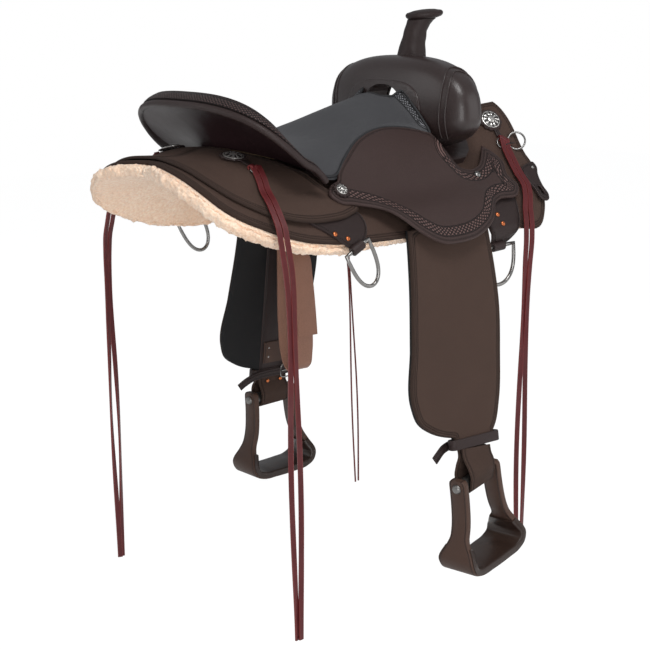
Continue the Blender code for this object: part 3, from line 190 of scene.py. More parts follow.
def through(points, spacing, closed=False, corners=()):
    """Points of a smooth curve through the given ones, straight into the corners."""
    points = [np.array(p, float) for p in points]
    count = len(points)
    result = []
    for i in range(count if closed else count - 1):
        a, b = points[i], points[(i + 1) % count]
        length = float(np.linalg.norm(b - a))

        def tangent(k):
            k %= count
            if k in corners or (not closed and k in (0, count - 1)):
                return (b - a) / length
            before, after = points[k] - points[k - 1], points[(k + 1) % count] - points[k]
            d0, d1 = np.linalg.norm(before), np.linalg.norm(after)
            return (before / d0 * d1 + after / d1 * d0) / (d0 + d1)

        pieces = max(1, math.ceil(length / spacing))
        for j in range(pieces):
            t = j / pieces
            ta, tb = tangent(i) * length, tangent(i + 1) * length
            result.append(a * (1 + 2 * t) * (1 - t) ** 2 + b * t * t * (3 - 2 * t)
                          + ta * t * (1 - t) ** 2 - tb * t * t * (1 - t))
    if not closed:
        result.append(points[-1])
    return result


@lru_cache(maxsize=None)
def section(y):
    """Half section of the back form at station y: arc lengths, x and z."""
    power = 2 / (BACK_POWER - BACK_POWER_SLOPE * y)
    drop = BACK_DROP + BACK_DROP_SLOPE * y
    if y < 0:
        rise = REAR_RISE * (y / REAR_REACH) ** 2
    else:
        rise = FRONT_RISE * (y / FRONT_REACH) ** 1.4
    turn = np.linspace(0, math.pi / 2, 400)
    x = BACK_HALF_WIDTH * np.sin(turn) ** power
    z = rise - drop * (1 - np.abs(np.cos(turn)) ** power)
    run = np.concatenate([[0], np.cumsum(np.hypot(np.diff(x), np.diff(z)))])
    return run, x, z


def lay(s, y, lift):
    """Point at arc s from the spine at station y, lifted off the form along its normal."""
    run, x, z = section(round(y, 4))

    def at(arc):
        a = abs(arc)
        return math.copysign(np.interp(a, run, x), arc), np.interp(a, run, z) - max(a - run[-1], 0)

    (x1, z1), (x2, z2) = at(s - 0.004), at(s + 0.004)
    length = math.hypot(x2 - x1, z2 - z1)
    px, pz = at(s)
    return Vector((px - (z2 - z1) / length * lift, y, pz + (x2 - x1) / length * lift))


def wither_rise(s, y):
    return WITHER_RISE * step(y, 0.20, 0.31) * (1 - step(abs(s), 0.04, 0.14))


def bar_rise(s, y):
    along = step(y, -0.30, -0.24) * (1 - step(y, 0.24, 0.30))
    return BAR * along * (1 - step(abs(s), 0.12, 0.16))


def plate_rise(s, y):
    return PLATE * step(abs(s), 0.15, 0.18) * step(y, -0.27, -0.225)


def seat_rise(s, y):
    stations = [(-0.13, 0.018), (-0.10, 0.023), (-0.06, 0.0325), (-0.017, 0.042), (0.03, 0.0455),
                (0.10, 0.043), (0.137, 0.042), (0.175, 0.008), (0.20, 0.0)]
    return table(y, stations) * (1 - step(abs(s), 0.06, 0.20))


def lobe_flare(s, y):
    along = step(y, -0.11, -0.02) * (1 - step(y, 0.17, 0.215))
    return LOBE_FLARE * step(abs(s), 0.165, 0.22) * along


def side_jockey_top(s, y):
    return SKIRT_TOP + UNDER_JOCKEY + JOCKEY + seat_rise(s, y) + lobe_flare(s, y)


def rear_jockey_under(s, y):
    return BAR_UNDER + 5 * GAP + bar_rise(s, y) + plate_rise(s, y)


def rear_jockey_top(s, y):
    return rear_jockey_under(s, y) + JOCKEY


def front_plate_rise(s, y):
    return BAR_UNDER + wither_rise(s, y) - 0.0230 * step(abs(s), 0.2585, 0.2790)


def laid(under, over):
    """Placing rule between two lifts over the back form."""
    def place(s, y, level):
        return lay(s, y, under(s, y) + (over(s, y) - under(s, y)) * level)
    return place


FLEECE_LAY = laid(wither_rise, lambda s, y: wither_rise(s, y) + FLEECE)
SKIRT_LAY = laid(lambda s, y: wither_rise(s, y) + SKIRT_UNDER, lambda s, y: wither_rise(s, y) + SKIRT_TOP)
REAR_JOCKEY_LAY = laid(rear_jockey_under, rear_jockey_top)
SIDE_JOCKEY_LAY = laid(lambda s, y: side_jockey_top(s, y) - JOCKEY, side_jockey_top)
REAR_PLATE_LAY = laid(lambda s, y: BAR_UNDER, lambda s, y: BAR_UNDER + PLATE)
FRONT_PLATE_LAY = laid(front_plate_rise, lambda s, y: front_plate_rise(s, y) + PLATE)

# Outlines in the pattern plane: (arc from the spine, station)
SPINE_GAP = 0.0004
SKIRT_EDGE = [(SPINE_GAP, -0.345), (0.036, -0.350), (0.080, -0.355), (0.120, -0.352), (0.152, -0.344),
              (0.177, -0.331), (0.196, -0.309), (0.210, -0.280), (0.223, -0.247), (0.234, -0.205),
              (0.239, -0.160), (0.241, -0.110), (0.240, -0.058), (0.238, 0.010), (0.238, 0.090),
              (0.243, 0.150), (0.249, 0.200), (0.252, 0.235), (0.263, 0.268), (0.266, 0.297),
              (0.240, 0.325), (0.200, 0.342), (0.155, 0.352), (0.100, 0.350), (0.045, 0.338),
              (0.042, 0.200), (0.036, -0.020), (SPINE_GAP, -0.150)]
FLEECE_EDGE = [(SPINE_GAP, -0.350), (0.036, -0.356), (0.082, -0.363), (0.124, -0.361), (0.158, -0.353),
               (0.185, -0.338), (0.205, -0.315), (0.219, -0.285), (0.231, -0.251), (0.241, -0.207),
               (0.245, -0.161), (0.245, -0.112), (0.238, -0.060), (0.234, 0.010), (0.234, 0.090),
               (0.238, 0.150), (0.243, 0.200), (0.245, 0.235), (0.255, 0.265), (0.257, 0.292),
               (0.235, 0.317), (0.197, 0.334), (0.153, 0.344), (0.100, 0.342), (0.046, 0.331), (0.044, 0.200),
               (0.036, -0.020), (SPINE_GAP, -0.150)]
LAYER_CORNERS = (0, 24, 27)
PILE_STATIONS = 14
REAR_JOCKEY_EDGE = [(SPINE_GAP, -0.330), (0.014, -0.333), (0.051, -0.338), (0.088, -0.337), (0.130, -0.329),
                    (0.164, -0.308), (0.187, -0.275), (0.204, -0.236), (0.211, -0.190), (0.210, -0.151),
                    (0.203, -0.108), (0.190, -0.082), (0.170, -0.086), (0.155, -0.111), (0.127, -0.143),
                    (0.099, -0.170), (0.071, -0.196), (0.033, -0.216), (SPINE_GAP, -0.2225)]
REAR_JOCKEY_CORNERS = (0, 18)
SEAM = [(0.149, -0.100), (0.139, -0.092), (0.116, -0.060), (0.093, -0.017), (0.082, 0.020),
        (0.078, 0.054), (0.085, 0.103), (0.097, 0.135)]
SIDE_JOCKEY_EDGE = SEAM + [(0.125, 0.150), (0.146, 0.168), (0.152, 0.190), (0.147, 0.214), (0.128, 0.238),
                           (0.110, 0.256), (0.128, 0.266), (0.150, 0.272), (0.176, 0.262), (0.196, 0.272),
                           (0.210, 0.262), (0.212, 0.217), (0.223, 0.190), (0.246, 0.165), (0.262, 0.125),
                           (0.266, 0.080), (0.262, 0.040), (0.246, 0.008), (0.223, -0.022), (0.202, -0.050),
                           (0.189, -0.090), (0.183, -0.120), (0.171, -0.130), (0.156, -0.118)]
SIDE_JOCKEY_CORNERS = (7, 13)
REAR_PLATE_EDGE = [(0.190, -0.195), (0.205, -0.190), (0.222, -0.166), (0.238, -0.143), (0.250, -0.124),
                   (0.246, -0.106), (0.234, -0.088), (0.216, -0.078), (0.195, -0.082), (0.185, -0.120)]
FRONT_PLATE_EDGE = [(0.185, 0.180), (0.215, 0.178), (0.245, 0.178), (0.262, 0.180), (0.273, 0.188),
                    (0.277, 0.206), (0.270, 0.234), (0.255, 0.248), (0.235, 0.257), (0.205, 0.262),
                    (0.180, 0.250)]
FENDER_EDGE = [(-0.007, 0.027), (0.089, 0.016), (0.165, 0.025), (0.169, 0.060), (0.174, 0.110),
               (0.176, 0.165), (0.168, 0.246), (0.154, 0.330), (0.141, 0.366), (0.134, 0.376),
               (0.133, 0.395), (0.046, 0.395), (0.0465, 0.374), (0.030, 0.370), (-0.001, 0.357),
               (-0.024, 0.339), (-0.034, 0.310), (-0.023, 0.216), (-0.012, 0.121), (-0.008, 0.060)]
FENDER_CORNERS = (0, 2, 9, 10, 11, 12)

# Laces: route of the right side's first tail; the second lies beside it
REAR_STRING = [(0.136, -0.231, 0.029), (0.158, -0.236, 0.011), (0.174, -0.241, -0.005),
               (0.194, -0.245, -0.019), (0.211, -0.248, -0.036), (0.225, -0.250, -0.054),
               (0.234, -0.252, -0.075), (0.240, -0.253, -0.095), (0.246, -0.254, -0.115),
               (0.250, -0.254, -0.145), (0.252, -0.254, -0.200), (0.252, -0.253, -0.350),
               (0.252, -0.252, -0.520), (0.252, -0.252, -0.705)]
FRONT_STRING = [(0.124, 0.306, 0.031), (0.133, 0.302, 0.017), (0.148, 0.298, 0.001),
                (0.172, 0.292, -0.022), (0.198, 0.286, -0.043), (0.212, 0.276, -0.060),
                (0.224, 0.264, -0.077), (0.237, 0.254, -0.097), (0.244, 0.248, -0.125),
                (0.243, 0.246, -0.165), (0.237, 0.247, -0.260), (0.231, 0.248, -0.400),
                (0.227, 0.249, -0.540), (0.225, 0.250, -0.668)]
LEFT_REAR_SHIFT = -0.018
STRING_SPREAD = 0.011


def length_property(label, about, value, low, high):
    return bpy.props.FloatProperty(name=label, description=about, default=value, min=low, max=high,
                                   subtype="DISTANCE", unit="LENGTH")


class SaddleSizes(bpy.types.PropertyGroup):
    """Sizes of the finish that may be changed."""
    lace_width: length_property("Lace width", "Width of a saddle string", 0.0085, 0.004, 0.014)
    lace_thickness: length_property("Lace thickness", "Thickness of a saddle string", 0.0030, 0.001, 0.005)
    pile: length_property("Pile", "Length of the fleece lining's pile", 0.005, 0.0, 0.012)
    stitch: length_property("Stitch", "Length from one stitch to the next", 0.0042, 0.002, 0.01)
    piping: length_property("Piping", "Radius of the seat's piping", 0.0024, 0.001, 0.005)


def colour_property(label, about, value):
    return bpy.props.FloatVectorProperty(name=label, description=about, default=value, size=3,
                                         min=0.0, max=1.0, subtype="COLOR")


class SaddleColours(bpy.types.PropertyGroup):
    """Colours of the finishes."""
    cordura: colour_property("Cordura", "Woven skirts, rear jockeys and fenders", srgb(78, 60, 52))
    jockey: colour_property("Jockey leather", "Side jockeys", srgb(47, 35, 33))
    seat: colour_property("Seat leather", "Padded seat", srgb(54, 54, 56))
    rim: colour_property("Rim leather", "Tooled rim, fork and plates", srgb(36, 27, 26))
    cantle: colour_property("Cantle leather", "Glossy back of the cantle", srgb(38, 24, 26))
    stirrup: colour_property("Stirrup leather", "Covered stirrups", srgb(58, 42, 35))
    latigo: colour_property("Tie strap", "Oiled tan strap", srgb(122, 90, 76))
    lace: colour_property("Lace", "Saddle strings", srgb(78, 22, 25))
    lace_edge: colour_property("Lace edge", "Cut edges of the saddle strings", srgb(112, 46, 44))
    fleece: colour_property("Fleece", "Wool pile", srgb(255, 234, 212))
    thread: colour_property("Thread", "Stitching", srgb(46, 33, 30))
    copper: colour_property("Copper", "Rivets", srgb(196, 114, 72))


class Sock:
    """A shader socket that takes part in Python expressions."""

    def __init__(self, finish, socket):
        self.finish, self.socket = finish, socket

    def math(self, operation, *others, clamp=False):
        values = dict(enumerate((self,) + others))
        return self.finish.node("ShaderNodeMath", {"operation": operation, "use_clamp": clamp}, values)

    def __add__(self, other):
        return self.math("ADD", other)

    def __mul__(self, other):
        return self.math("MULTIPLY", other)

    def __sub__(self, other):
        return self.math("SUBTRACT", other)

    def __rsub__(self, other):
        return self.finish.node("ShaderNodeMath", {"operation": "SUBTRACT"}, {0: other, 1: self})

    def __truediv__(self, other):
        return self.math("DIVIDE", other)

    def __abs__(self):
        return self.math("ABSOLUTE")

    __radd__ = __add__
    __rmul__ = __mul__

    def sin(self):
        return self.math("SINE")

    def fraction(self):
        return self.math("FRACT")

    def clamp(self):
        return self.math("ADD", 0.0, clamp=True)

    def most(self, other):
        return self.math("MAXIMUM", other)

    def between(self, low, high):
        """0 below low, 1 above high and a smooth step from one to the other."""
        return self.finish.node("ShaderNodeMapRange", {"interpolation_type": "SMOOTHSTEP"},
                                {"Value": self, "From Min": low, "From Max": high})

    def line(self, centre, half, soft):
        """1 within half of the centre, fading to 0 over soft."""
        return 1 - abs(self - centre).between(half, half + soft)


class Finish:
    """A procedural material with one Principled shader."""

    def __init__(self, name):
        self.material = bpy.data.materials.new(name)
        self.material.use_nodes = True
        self.tree = self.material.node_tree
        self.shader = self.tree.nodes["Principled BSDF"]

    def node(self, kind, settings=None, values=None, out=0):
        """Any node: its settings first, then the values or links of its sockets."""
        made = self.tree.nodes.new(kind)
        for key, value in (settings or {}).items():
            setattr(made, key, value)
        for key, value in (values or {}).items():
            self.feed(made.inputs[key], value)
        return Sock(self, made.outputs[out])

    def feed(self, socket, value):
        if isinstance(value, Sock):
            self.tree.links.new(value.socket, socket)
        elif isinstance(value, (tuple, list)) and len(value) == 3 and socket.type == "RGBA":
            socket.default_value = (*value, 1)
        else:
            socket.default_value = value

    def attribute(self, name):
        return self.node("ShaderNodeAttribute", {"attribute_name": name}, out="Fac")

    def place(self):
        return self.node("ShaderNodeTexCoord", out="Object")

    def pattern_plane(self):
        """The two coordinates of the flat pattern, in metres."""
        uv = self.node("ShaderNodeUVMap", {"uv_map": "pattern"})
        split = self.node("ShaderNodeSeparateXYZ", {}, {0: uv})
        return split, Sock(self, split.socket.node.outputs[1])

    def noise(self, scale, detail=2.0, rough=0.5, stretch=None):
        where = self.place()
        if stretch:
            where = self.node("ShaderNodeVectorMath", {"operation": "MULTIPLY"}, {0: where, 1: stretch})
        return self.node("ShaderNodeTexNoise", {}, {"Vector": where, "Scale": scale, "Detail": detail,
                                                    "Roughness": rough})

    def cells(self, scale):
        return self.node("ShaderNodeTexVoronoi", {}, {"Vector": self.place(), "Scale": scale}, out="Distance")

    def mix(self, share, first, second):
        """Colour between two others."""
        return self.node("ShaderNodeMix", {"data_type": "RGBA", "clamp_factor": True},
                         {0: share, 6: first, 7: second}, out=2)

    def bump(self, height, distance):
        return self.node("ShaderNodeBump", {}, {"Height": height, "Distance": distance})

    def set(self, **values):
        for key, value in values.items():
            self.feed(self.shader.inputs[key.replace("_", " ").title()], value)
        return self.material


def shaded(colour, factor):
    return tuple(min(1.0, c * factor) for c in colour)


def stitch_rows(m, rows):
    """Mask of stitches and of the rows' furrows, which give the height and the painted shade: each row is
    sewn at its distance from an edge.
    """
    rim, along = m.attribute("rim"), m.attribute("run")
    pitch = bpy.context.scene.saddle_sizes.stitch
    stitches, furrow = 0.0, 0.0
    for distance in rows:
        dash = abs((along / pitch).fraction() - 0.5).between(0.36, 0.28)
        stitches = rim.line(distance, 0.0003, 0.0005) * dash + stitches
        furrow = rim.line(distance, 0.0004, 0.0016) + furrow
    return stitches.clamp(), furrow.clamp()


def cordura_finish(name, colour, thread, rows, piped=False):
    """Coarse woven nylon with sewn rows along its edge, painted shade in their furrows."""
    m = Finish(name)
    u, v = m.pattern_plane()
    wobble = m.noise(260, 2.0) * 0.8
    weave = ((u * 4300 + wobble).sin() * (v * 4300 + wobble).sin()) * 0.5 + 0.5
    specks = m.noise(1300, 3.0, 0.7)
    cloud = m.noise(9, 4.0, 0.6)
    base = m.mix(cloud, shaded(colour, 0.72), shaded(colour, 1.25))
    base = m.mix((specks * weave * 1.6).between(0.15, 0.85), shaded(colour, 0.55), base)
    base = m.mix((specks - 0.58) * 3, base, shaded(colour, 1.9))
    stitches, furrow = stitch_rows(m, rows)
    # Painted shade in the stitch furrows
    base = m.mix(furrow * 0.7, base, shaded(colour, 0.5))
    base = m.mix(stitches * 0.95, base, shaded(thread, 0.5))
    height = weave * 0.35 + specks * 0.5 - furrow * 1.4 + stitches * 1.2
    if piped:
        rim = m.attribute("rim")
        base = m.mix(rim.between(0.0036, 0.0026), base, shaded(colour, 0.42))
        height = height + rim.between(0.0040, 0.0024) * 0.8
    normal = m.bump(height, 0.0007)
    m.shader.inputs["Specular IOR Level"].default_value = 0.22
    return m.set(base_color=base, roughness=(specks * 0.15 + 0.76), normal=normal)


def leather_finish(name, colour, rough, grain, thread=None, rows=(), band=None, gloss=0.0):
    """Grained leather, darker in its pores, paler along its edges with rubbed wear and a painted highlight,
    with sewn rows whose furrows hold painted shade and a stamped band with painted highlights on its stamps.
    """
    m = Finish(name)
    pores = m.cells(grain)
    fine = m.noise(grain * 2.2, 3.0, 0.6)
    cloud = m.noise(13, 4.0, 0.62)
    creases = m.noise(70, 3.0, 0.7, stretch=(1.0, 0.35, 1.0))
    base = m.mix(cloud, shaded(colour, 0.68), shaded(colour, 1.28))
    base = m.mix(pores.between(0.25, 0.75) * 0.4, shaded(colour, 1.35), base)
    height = (1 - pores) * 0.35 + fine * 0.25 + creases * 0.5
    rim = m.attribute("rim")
    # Paler within 3 mm of the edge: rubbed wear together with a painted highlight on the rounded edges
    edge = rim.between(0.0030, 0.0006)
    if rows or band:
        base = m.mix(edge * 0.55, base, shaded(colour, 1.7))
    if rows:
        stitches, furrow = stitch_rows(m, rows)
        # Painted shade in the stitch furrows
        base = m.mix(furrow * 0.5, base, shaded(colour, 0.5))
        base = m.mix(stitches * 0.85, base, thread)
        height = height - furrow * 1.6 + stitches * 1.5
    rough_value = fine * 0.18 + creases * 0.12 + (rough - 0.12)
    if band:
        low, high, cell = band
        across, along = m.attribute("band"), m.attribute("bandrun")
        inside = across.between(low, low + 0.0008) * across.between(high, high - 0.0008)
        rows_up = (across - low) / cell
        columns = along / (cell * 1.6)
        slant = ((columns + rows_up).fraction() - 0.5) * 2
        other = ((columns - rows_up).fraction() - 0.5) * 2
        lozenge = abs(slant).most(abs(other))
        # Masks of the raised stamps, for relief and painted highlight, and of the painted glints on their
        # crowns
        stamp, painted_glint = lozenge.between(0.92, 0.55), lozenge.between(0.72, 0.40)
        lines = across.line(low, 0.0005, 0.0006) + across.line(high, 0.0005, 0.0006)
        base = m.mix(inside * 0.85, base, shaded(colour, 0.28))
        # Painted highlight on the raised stamp faces, then brighter painted glints on their crowns
        base = m.mix(inside * stamp * 0.6, base, shaded(colour, 1.7))
        base = m.mix(inside * painted_glint * 0.6, base, shaded(colour, 6.0))
        base = m.mix(lines.clamp() * 0.8, base, shaded(colour, 0.28))
        height = height + inside * stamp * 2.4 - lines * 1.8 - inside * 0.8
    normal = m.bump(height, 0.0006)
    m.shader.inputs["Coat Roughness"].default_value = 0.3
    m.shader.inputs["Specular IOR Level"].default_value = 0.22
    return m.set(base_color=base, roughness=rough_value, normal=normal, coat_weight=gloss)


def fleece_finish(name, colour):
    """Curly wool pile, darker between its curls and tufts: partly the wool's own tone, partly painted shade
    in the pile's hollows.
    """
    m = Finish(name)
    curls = m.noise(230, 4.0, 0.65)
    tufts = m.cells(160)
    cloud = m.noise(14, 3.0)
    # Darker between curls and tufts: painted shade in the pile's hollows, partly the wool's own tone
    base = m.mix(curls.between(0.35, 0.65), srgb(236, 200, 170), colour)
    base = m.mix(tufts.between(0.2, 0.8) * 0.45, base, srgb(240, 206, 178))
    base = m.mix(cloud.between(0.35, 0.7) * 0.35, base, srgb(232, 188, 152))
    normal = m.bump(curls * 1.2 + (1 - tufts), 0.0022)
    m.shader.inputs["Sheen Weight"].default_value = 0.35
    return m.set(base_color=base, roughness=(curls * 0.1 + 0.85), normal=normal)


def steel_finish(name, colour, rough=0.16):
    """Polished metal with fine scratches, darker and duller in patches at random."""
    m = Finish(name)
    scratches = m.noise(900, 2.0, 0.5, stretch=(1.0, 0.12, 0.4))
    cloud = m.noise(90, 3.0, 0.6)
    base = m.mix(cloud.between(0.3, 0.75) * 0.5, colour, shaded(colour, 0.6))
    normal = m.bump(scratches, 0.00008)
    rough_value = scratches * 0.12 + cloud * 0.12 + rough
    return m.set(base_color=base, metallic=1.0, roughness=rough_value, normal=normal)


def concho_finish(name, colour):
    """Silver plate, blackened in the hollows of its engraving."""
    m = Finish(name)
    relief = m.attribute("relief")
    grain = m.noise(700, 3.0, 0.6)
    raised = (relief + grain * 0.35 - 0.17).between(0.38, 0.60)
    base = m.mix(raised, (0.016, 0.013, 0.012), colour)
    return m.set(base_color=base, metallic=(raised * 0.8 + 0.1), roughness=(grain * 0.15 + 0.22),
                 normal=m.bump(raised, 0.0004))


def rubber_finish(name, colour):
    """Closed cell neoprene with a knitted face."""
    m = Finish(name)
    knit = m.cells(1500)
    cloud = m.noise(12, 3.0)
    base = m.mix(cloud, shaded(colour, 0.7), shaded(colour, 1.5))
    base = m.mix(knit.between(0.2, 0.7) * 0.5, shaded(colour, 1.6), base)
    m.shader.inputs["Specular IOR Level"].default_value = 0.2
    return m.set(base_color=base, roughness=(knit * 0.2 + 0.66), normal=m.bump(1 - knit, 0.0002))


def lace_finish(name, colour, edge_colour):
    """Oxblood lace leather with paler cut edges."""
    m = Finish(name)
    across = abs(m.attribute("across"))
    fine = m.noise(500, 3.0, 0.6)
    along = m.noise(30, 3.0, 0.6)
    base = m.mix(along, shaded(colour, 0.62), shaded(colour, 1.3))
    base = m.mix(across.between(0.72, 0.92) * 0.75, base, edge_colour)
    base = m.mix(fine.between(0.5, 0.75) * 0.35, base, shaded(colour, 1.6))
    m.shader.inputs["Specular IOR Level"].default_value = 0.3
    return m.set(base_color=base, roughness=(fine * 0.2 + 0.34), normal=m.bump(fine + along, 0.0003))


def hide_finish(name, colour):
    """Pale hide over the wooden tree, seen only from below."""
    m = Finish(name)
    fibres = m.noise(60, 4.0, 0.6, stretch=(1.0, 0.1, 1.0))
    base = m.mix(fibres, shaded(colour, 0.7), shaded(colour, 1.2))
    return m.set(base_color=base, roughness=(fibres * 0.2 + 0.55), normal=m.bump(fibres, 0.0004))


FINISHES = {}


def make_finishes(context):
    """All finishes, named by the piece they cover."""
    c = {name: tuple(getattr(context.scene.saddle_colours, name)) for name in SaddleColours.__annotations__}
    cordura, rim, seat = c["cordura"], c["rim"], c["seat"]
    stirrup, thread = c["stirrup"], c["thread"]
    FINISHES.update(
        cordura_piped=cordura_finish("cordura_piped", cordura, thread, (0.0055, 0.009), True),
        loop=cordura_finish("loop_leather", shaded(cordura, 0.8), thread, (0.004,)),
        jockey=leather_finish("jockey_leather", c["jockey"], 0.50, 700, thread, (0.0042,),
                              (0.0095, 0.0235, 0.0056)),
        seat=leather_finish("seat_leather", seat, 0.44, 900, band=(0.0045, 0.0150, 0.0040)),
        rim=leather_finish("rim_leather", rim, 0.42, 700, thread, (0.0040,), (0.0060, 0.0190, 0.0045)),
        dark=leather_finish("dark_leather", rim, 0.44, 700, thread, (0.0035,)),
        fork=leather_finish("fork_leather", shaded(rim, 1.05), 0.36, 520, gloss=0.45),
        horn=leather_finish("horn_leather", shaded(rim, 0.9), 0.48, 520),
        cantle=leather_finish("cantle_leather", c["cantle"], 0.44, 300, gloss=0.06),
        piping=leather_finish("piping_leather", shaded(seat, 0.45), 0.5, 700),
        stirrup=leather_finish("stirrup_leather", stirrup, 0.48, 560, thread, (0.0032,)),
        sole=leather_finish("tread_leather", shaded(stirrup, 0.45), 0.34, 460, gloss=0.25),
        latigo=leather_finish("latigo_leather", c["latigo"], 0.55, 480),
        lace=lace_finish("lace_leather", c["lace"], c["lace_edge"]),
        fleece=fleece_finish("fleece", c["fleece"]),
        steel=steel_finish("steel", STEEL),
        dull_steel=steel_finish("dull_steel", DULL_STEEL, 0.34),
        concho=concho_finish("antique_steel", SILVER),
        copper=steel_finish("copper", c["copper"], 0.24),
        neoprene=rubber_finish("neoprene", NEOPRENE),
        hide=hide_finish("hide", HIDE),
    )


def measure(points, line, closed=True):
    """Distance from a line of points in the pattern plane, and how far along it that is."""
    a = np.array([tuple(p)[:2] for p in line])
    b = np.roll(a, -1, axis=0)
    if not closed:
        a, b = a[:-1], b[:-1]
    along = b - a
    length = np.linalg.norm(along, axis=1)
    start = np.concatenate([[0], np.cumsum(length)[:-1]])
    p = np.array(points)[:, None, :]
    share = np.clip(((p - a) * along).sum(axis=2) / (length ** 2), 0, 1)
    gaps = np.linalg.norm(p - (a + share[:, :, None] * along), axis=2)
    nearest = gaps.argmin(axis=1)
    rows = np.arange(len(nearest))
    return gaps[rows, nearest], start[nearest] + share[rows, nearest] * length[nearest]


def link(name, data, finish):
    """Object of some data, with a finish."""
    obj = bpy.data.objects.new(name, data)
    data.materials.append(FINISHES[finish])
    bpy.context.scene.collection.objects.link(obj)
    return obj


def smooth_shade(mesh, angle):
    mesh.shade_smooth()
    mesh.set_sharp_from_angle(angle=math.radians(angle))


def dress(obj, body, slot, *nodes):
    """Lets a piece ride on its body in place of CAD nodes; the slot's name is not used."""
    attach(obj, body)
    if nodes:
        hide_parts(*nodes)


def panel(name, outline, place, finish, pitch, rounding, edge_level=0.55, lines=None):
    """A piece cut flat along an outline, its upper edge rounded over, then laid with the placing rule.

    Its mesh keeps the flat pattern as UVs and the distance from its edge as an attribute."""
    bm = bmesh.new()
    rim = [bm.verts.new((p[0], p[1], 0.0)) for p in outline]
    grown = bmesh.ops.extrude_face_region(bm, geom=[bm.faces.new(rim)])
    top = [e for e in grown["geom"] if isinstance(e, bmesh.types.BMVert)]
    lid = [e for e in grown["geom"] if isinstance(e, bmesh.types.BMFace)]
    bmesh.ops.translate(bm, vec=(0, 0, edge_level), verts=top)
    bmesh.ops.inset_region(bm, faces=lid, thickness=rounding, use_even_offset=True)
    bmesh.ops.translate(bm, vec=(0, 0, 1 - edge_level), verts=list({v for f in lid for v in f.verts}))
    for axis in (0, 1):
        low = min(p[axis] for p in outline)
        high = max(p[axis] for p in outline)
        normal = Vector((axis == 0, axis == 1, 0))
        for k in range(math.ceil(low / pitch), math.floor(high / pitch) + 1):
            everything = bm.verts[:] + bm.edges[:] + bm.faces[:]
            bmesh.ops.bisect_plane(bm, geom=everything, dist=1e-6, plane_co=normal * k * pitch,
                                   plane_no=normal)
    bmesh.ops.remove_doubles(bm, verts=bm.verts, dist=2e-5)
    bmesh.ops.triangulate(bm, faces=[f for f in bm.faces if len(f.verts) > 4])
    bmesh.ops.recalc_face_normals(bm, faces=bm.faces)
    bm.verts.index_update()
    flat = np.array([(v.co.x, v.co.y) for v in bm.verts])
    levels = [v.co.z for v in bm.verts]
    uv = bm.loops.layers.uv.new("pattern")
    for face in bm.faces:
        for corner in face.loops:
            corner[uv].uv = corner.vert.co.xy
    measures = {"rim": (outline, True), **(lines or {})}
    for label, (line, closed) in measures.items():
        distance, run = measure(flat, line, closed)
        names = ("rim", "run") if label == "rim" else (label, f"{label}run")
        for layer_name, values in zip(names, (distance, run)):
            layer = bm.verts.layers.float.new(layer_name)
            for v, value in zip(bm.verts, values):
                v[layer] = float(value)
    for v, level in zip(bm.verts, levels):
        v.co = place(v.co.x, v.co.y, level)
    bmesh.ops.recalc_face_normals(bm, faces=bm.faces)
    mesh = bpy.data.meshes.new(name)
    bm.to_mesh(mesh)
    bm.free()
    smooth_shade(mesh, 55)
    return link(name, mesh, finish)


def skin(name, rings, finish, closed=False, angle=45, measures=None):
    """Closed mesh through rings of points; its ends are capped unless the rings form a loop.

    Each measure names an attribute and gives its value at ring i and point k of it."""
    bm = bmesh.new()
    layers = {label: bm.verts.layers.float.new(label) for label in measures or {}}
    rows = [[bm.verts.new(p) for p in ring] for ring in rings]
    count = len(rows[0])
    pairs = zip(rows, rows[1:] + rows[:1]) if closed else zip(rows, rows[1:])
    for first, second in pairs:
        for k in range(count):
            after = (k + 1) % count
            bm.faces.new((first[k], first[after], second[after], second[k]))
    if not closed:
        bm.faces.new(rows[0])
        bm.faces.new(rows[-1])
    bmesh.ops.recalc_face_normals(bm, faces=bm.faces)
    for label, layer in layers.items():
        for i, row in enumerate(rows):
            for k, v in enumerate(row):
                v[layer] = float(measures[label](i, k))
    mesh = bpy.data.meshes.new(name)
    bm.to_mesh(mesh)
    bm.free()
    smooth_shade(mesh, angle)
    return link(name, mesh, finish)


def circle_on(on, radius, count, height=0.0):
    """Points of a circle round the Z axis of a frame."""
    turns = [2 * math.pi * k / count for k in range(count)]
    return [on @ Vector((radius * math.cos(a), radius * math.sin(a), height)) for a in turns]


def turned(name, profile, place, finish, sides, angle=35):
    """Turned body from a (radius, height) profile round the Z axis of a frame."""
    rings = [circle_on(place, radius, sides, height) for radius, height in profile]
    return skin(name, rings, finish, angle=angle)


def tube(name, points, radius, finish, closed=False, resolution=4):
    """Round wire along points."""
    curve = bpy.data.curves.new(name, "CURVE")
    curve.dimensions = "3D"
    curve.bevel_depth = radius
    curve.bevel_resolution = resolution
    curve.use_fill_caps = not closed
    spline = curve.splines.new("POLY")
    spline.points.add(len(points) - 1)
    spline.use_cyclic_u = closed
    for knot, p in zip(spline.points, points):
        knot.co = (*p, 1)
    spline.use_smooth = True
    return link(name, curve, finish)


def strap(name, path, across, width, thickness, finish):
    """Flat strap with rounded edges along a path; across gives its width's direction."""
    path = [Vector(p) for p in path]
    rings, reach = [], [0.0]
    for i, point in enumerate(path):
        before, after = path[max(i - 1, 0)], path[min(i + 1, len(path) - 1)]
        side = across(i / (len(path) - 1))
        ahead = (after - before).normalized()
        side = (side - ahead * side.dot(ahead)).normalized()
        out = ahead.cross(side)
        rings.append([point + side * width / 2 * a + out * thickness / 2 * b for a, b in STRAP_SHAPE])
    for a, b in zip(path, path[1:]):
        reach.append(reach[-1] + (b - a).length)
    edge = {"across": lambda i, k: STRAP_MARKS[k], "run": lambda i, k: reach[i],
            "rim": lambda i, k: (1 - abs(STRAP_MARKS[k])) * width / 2}
    return skin(name, rings, finish, angle=60, measures=edge)


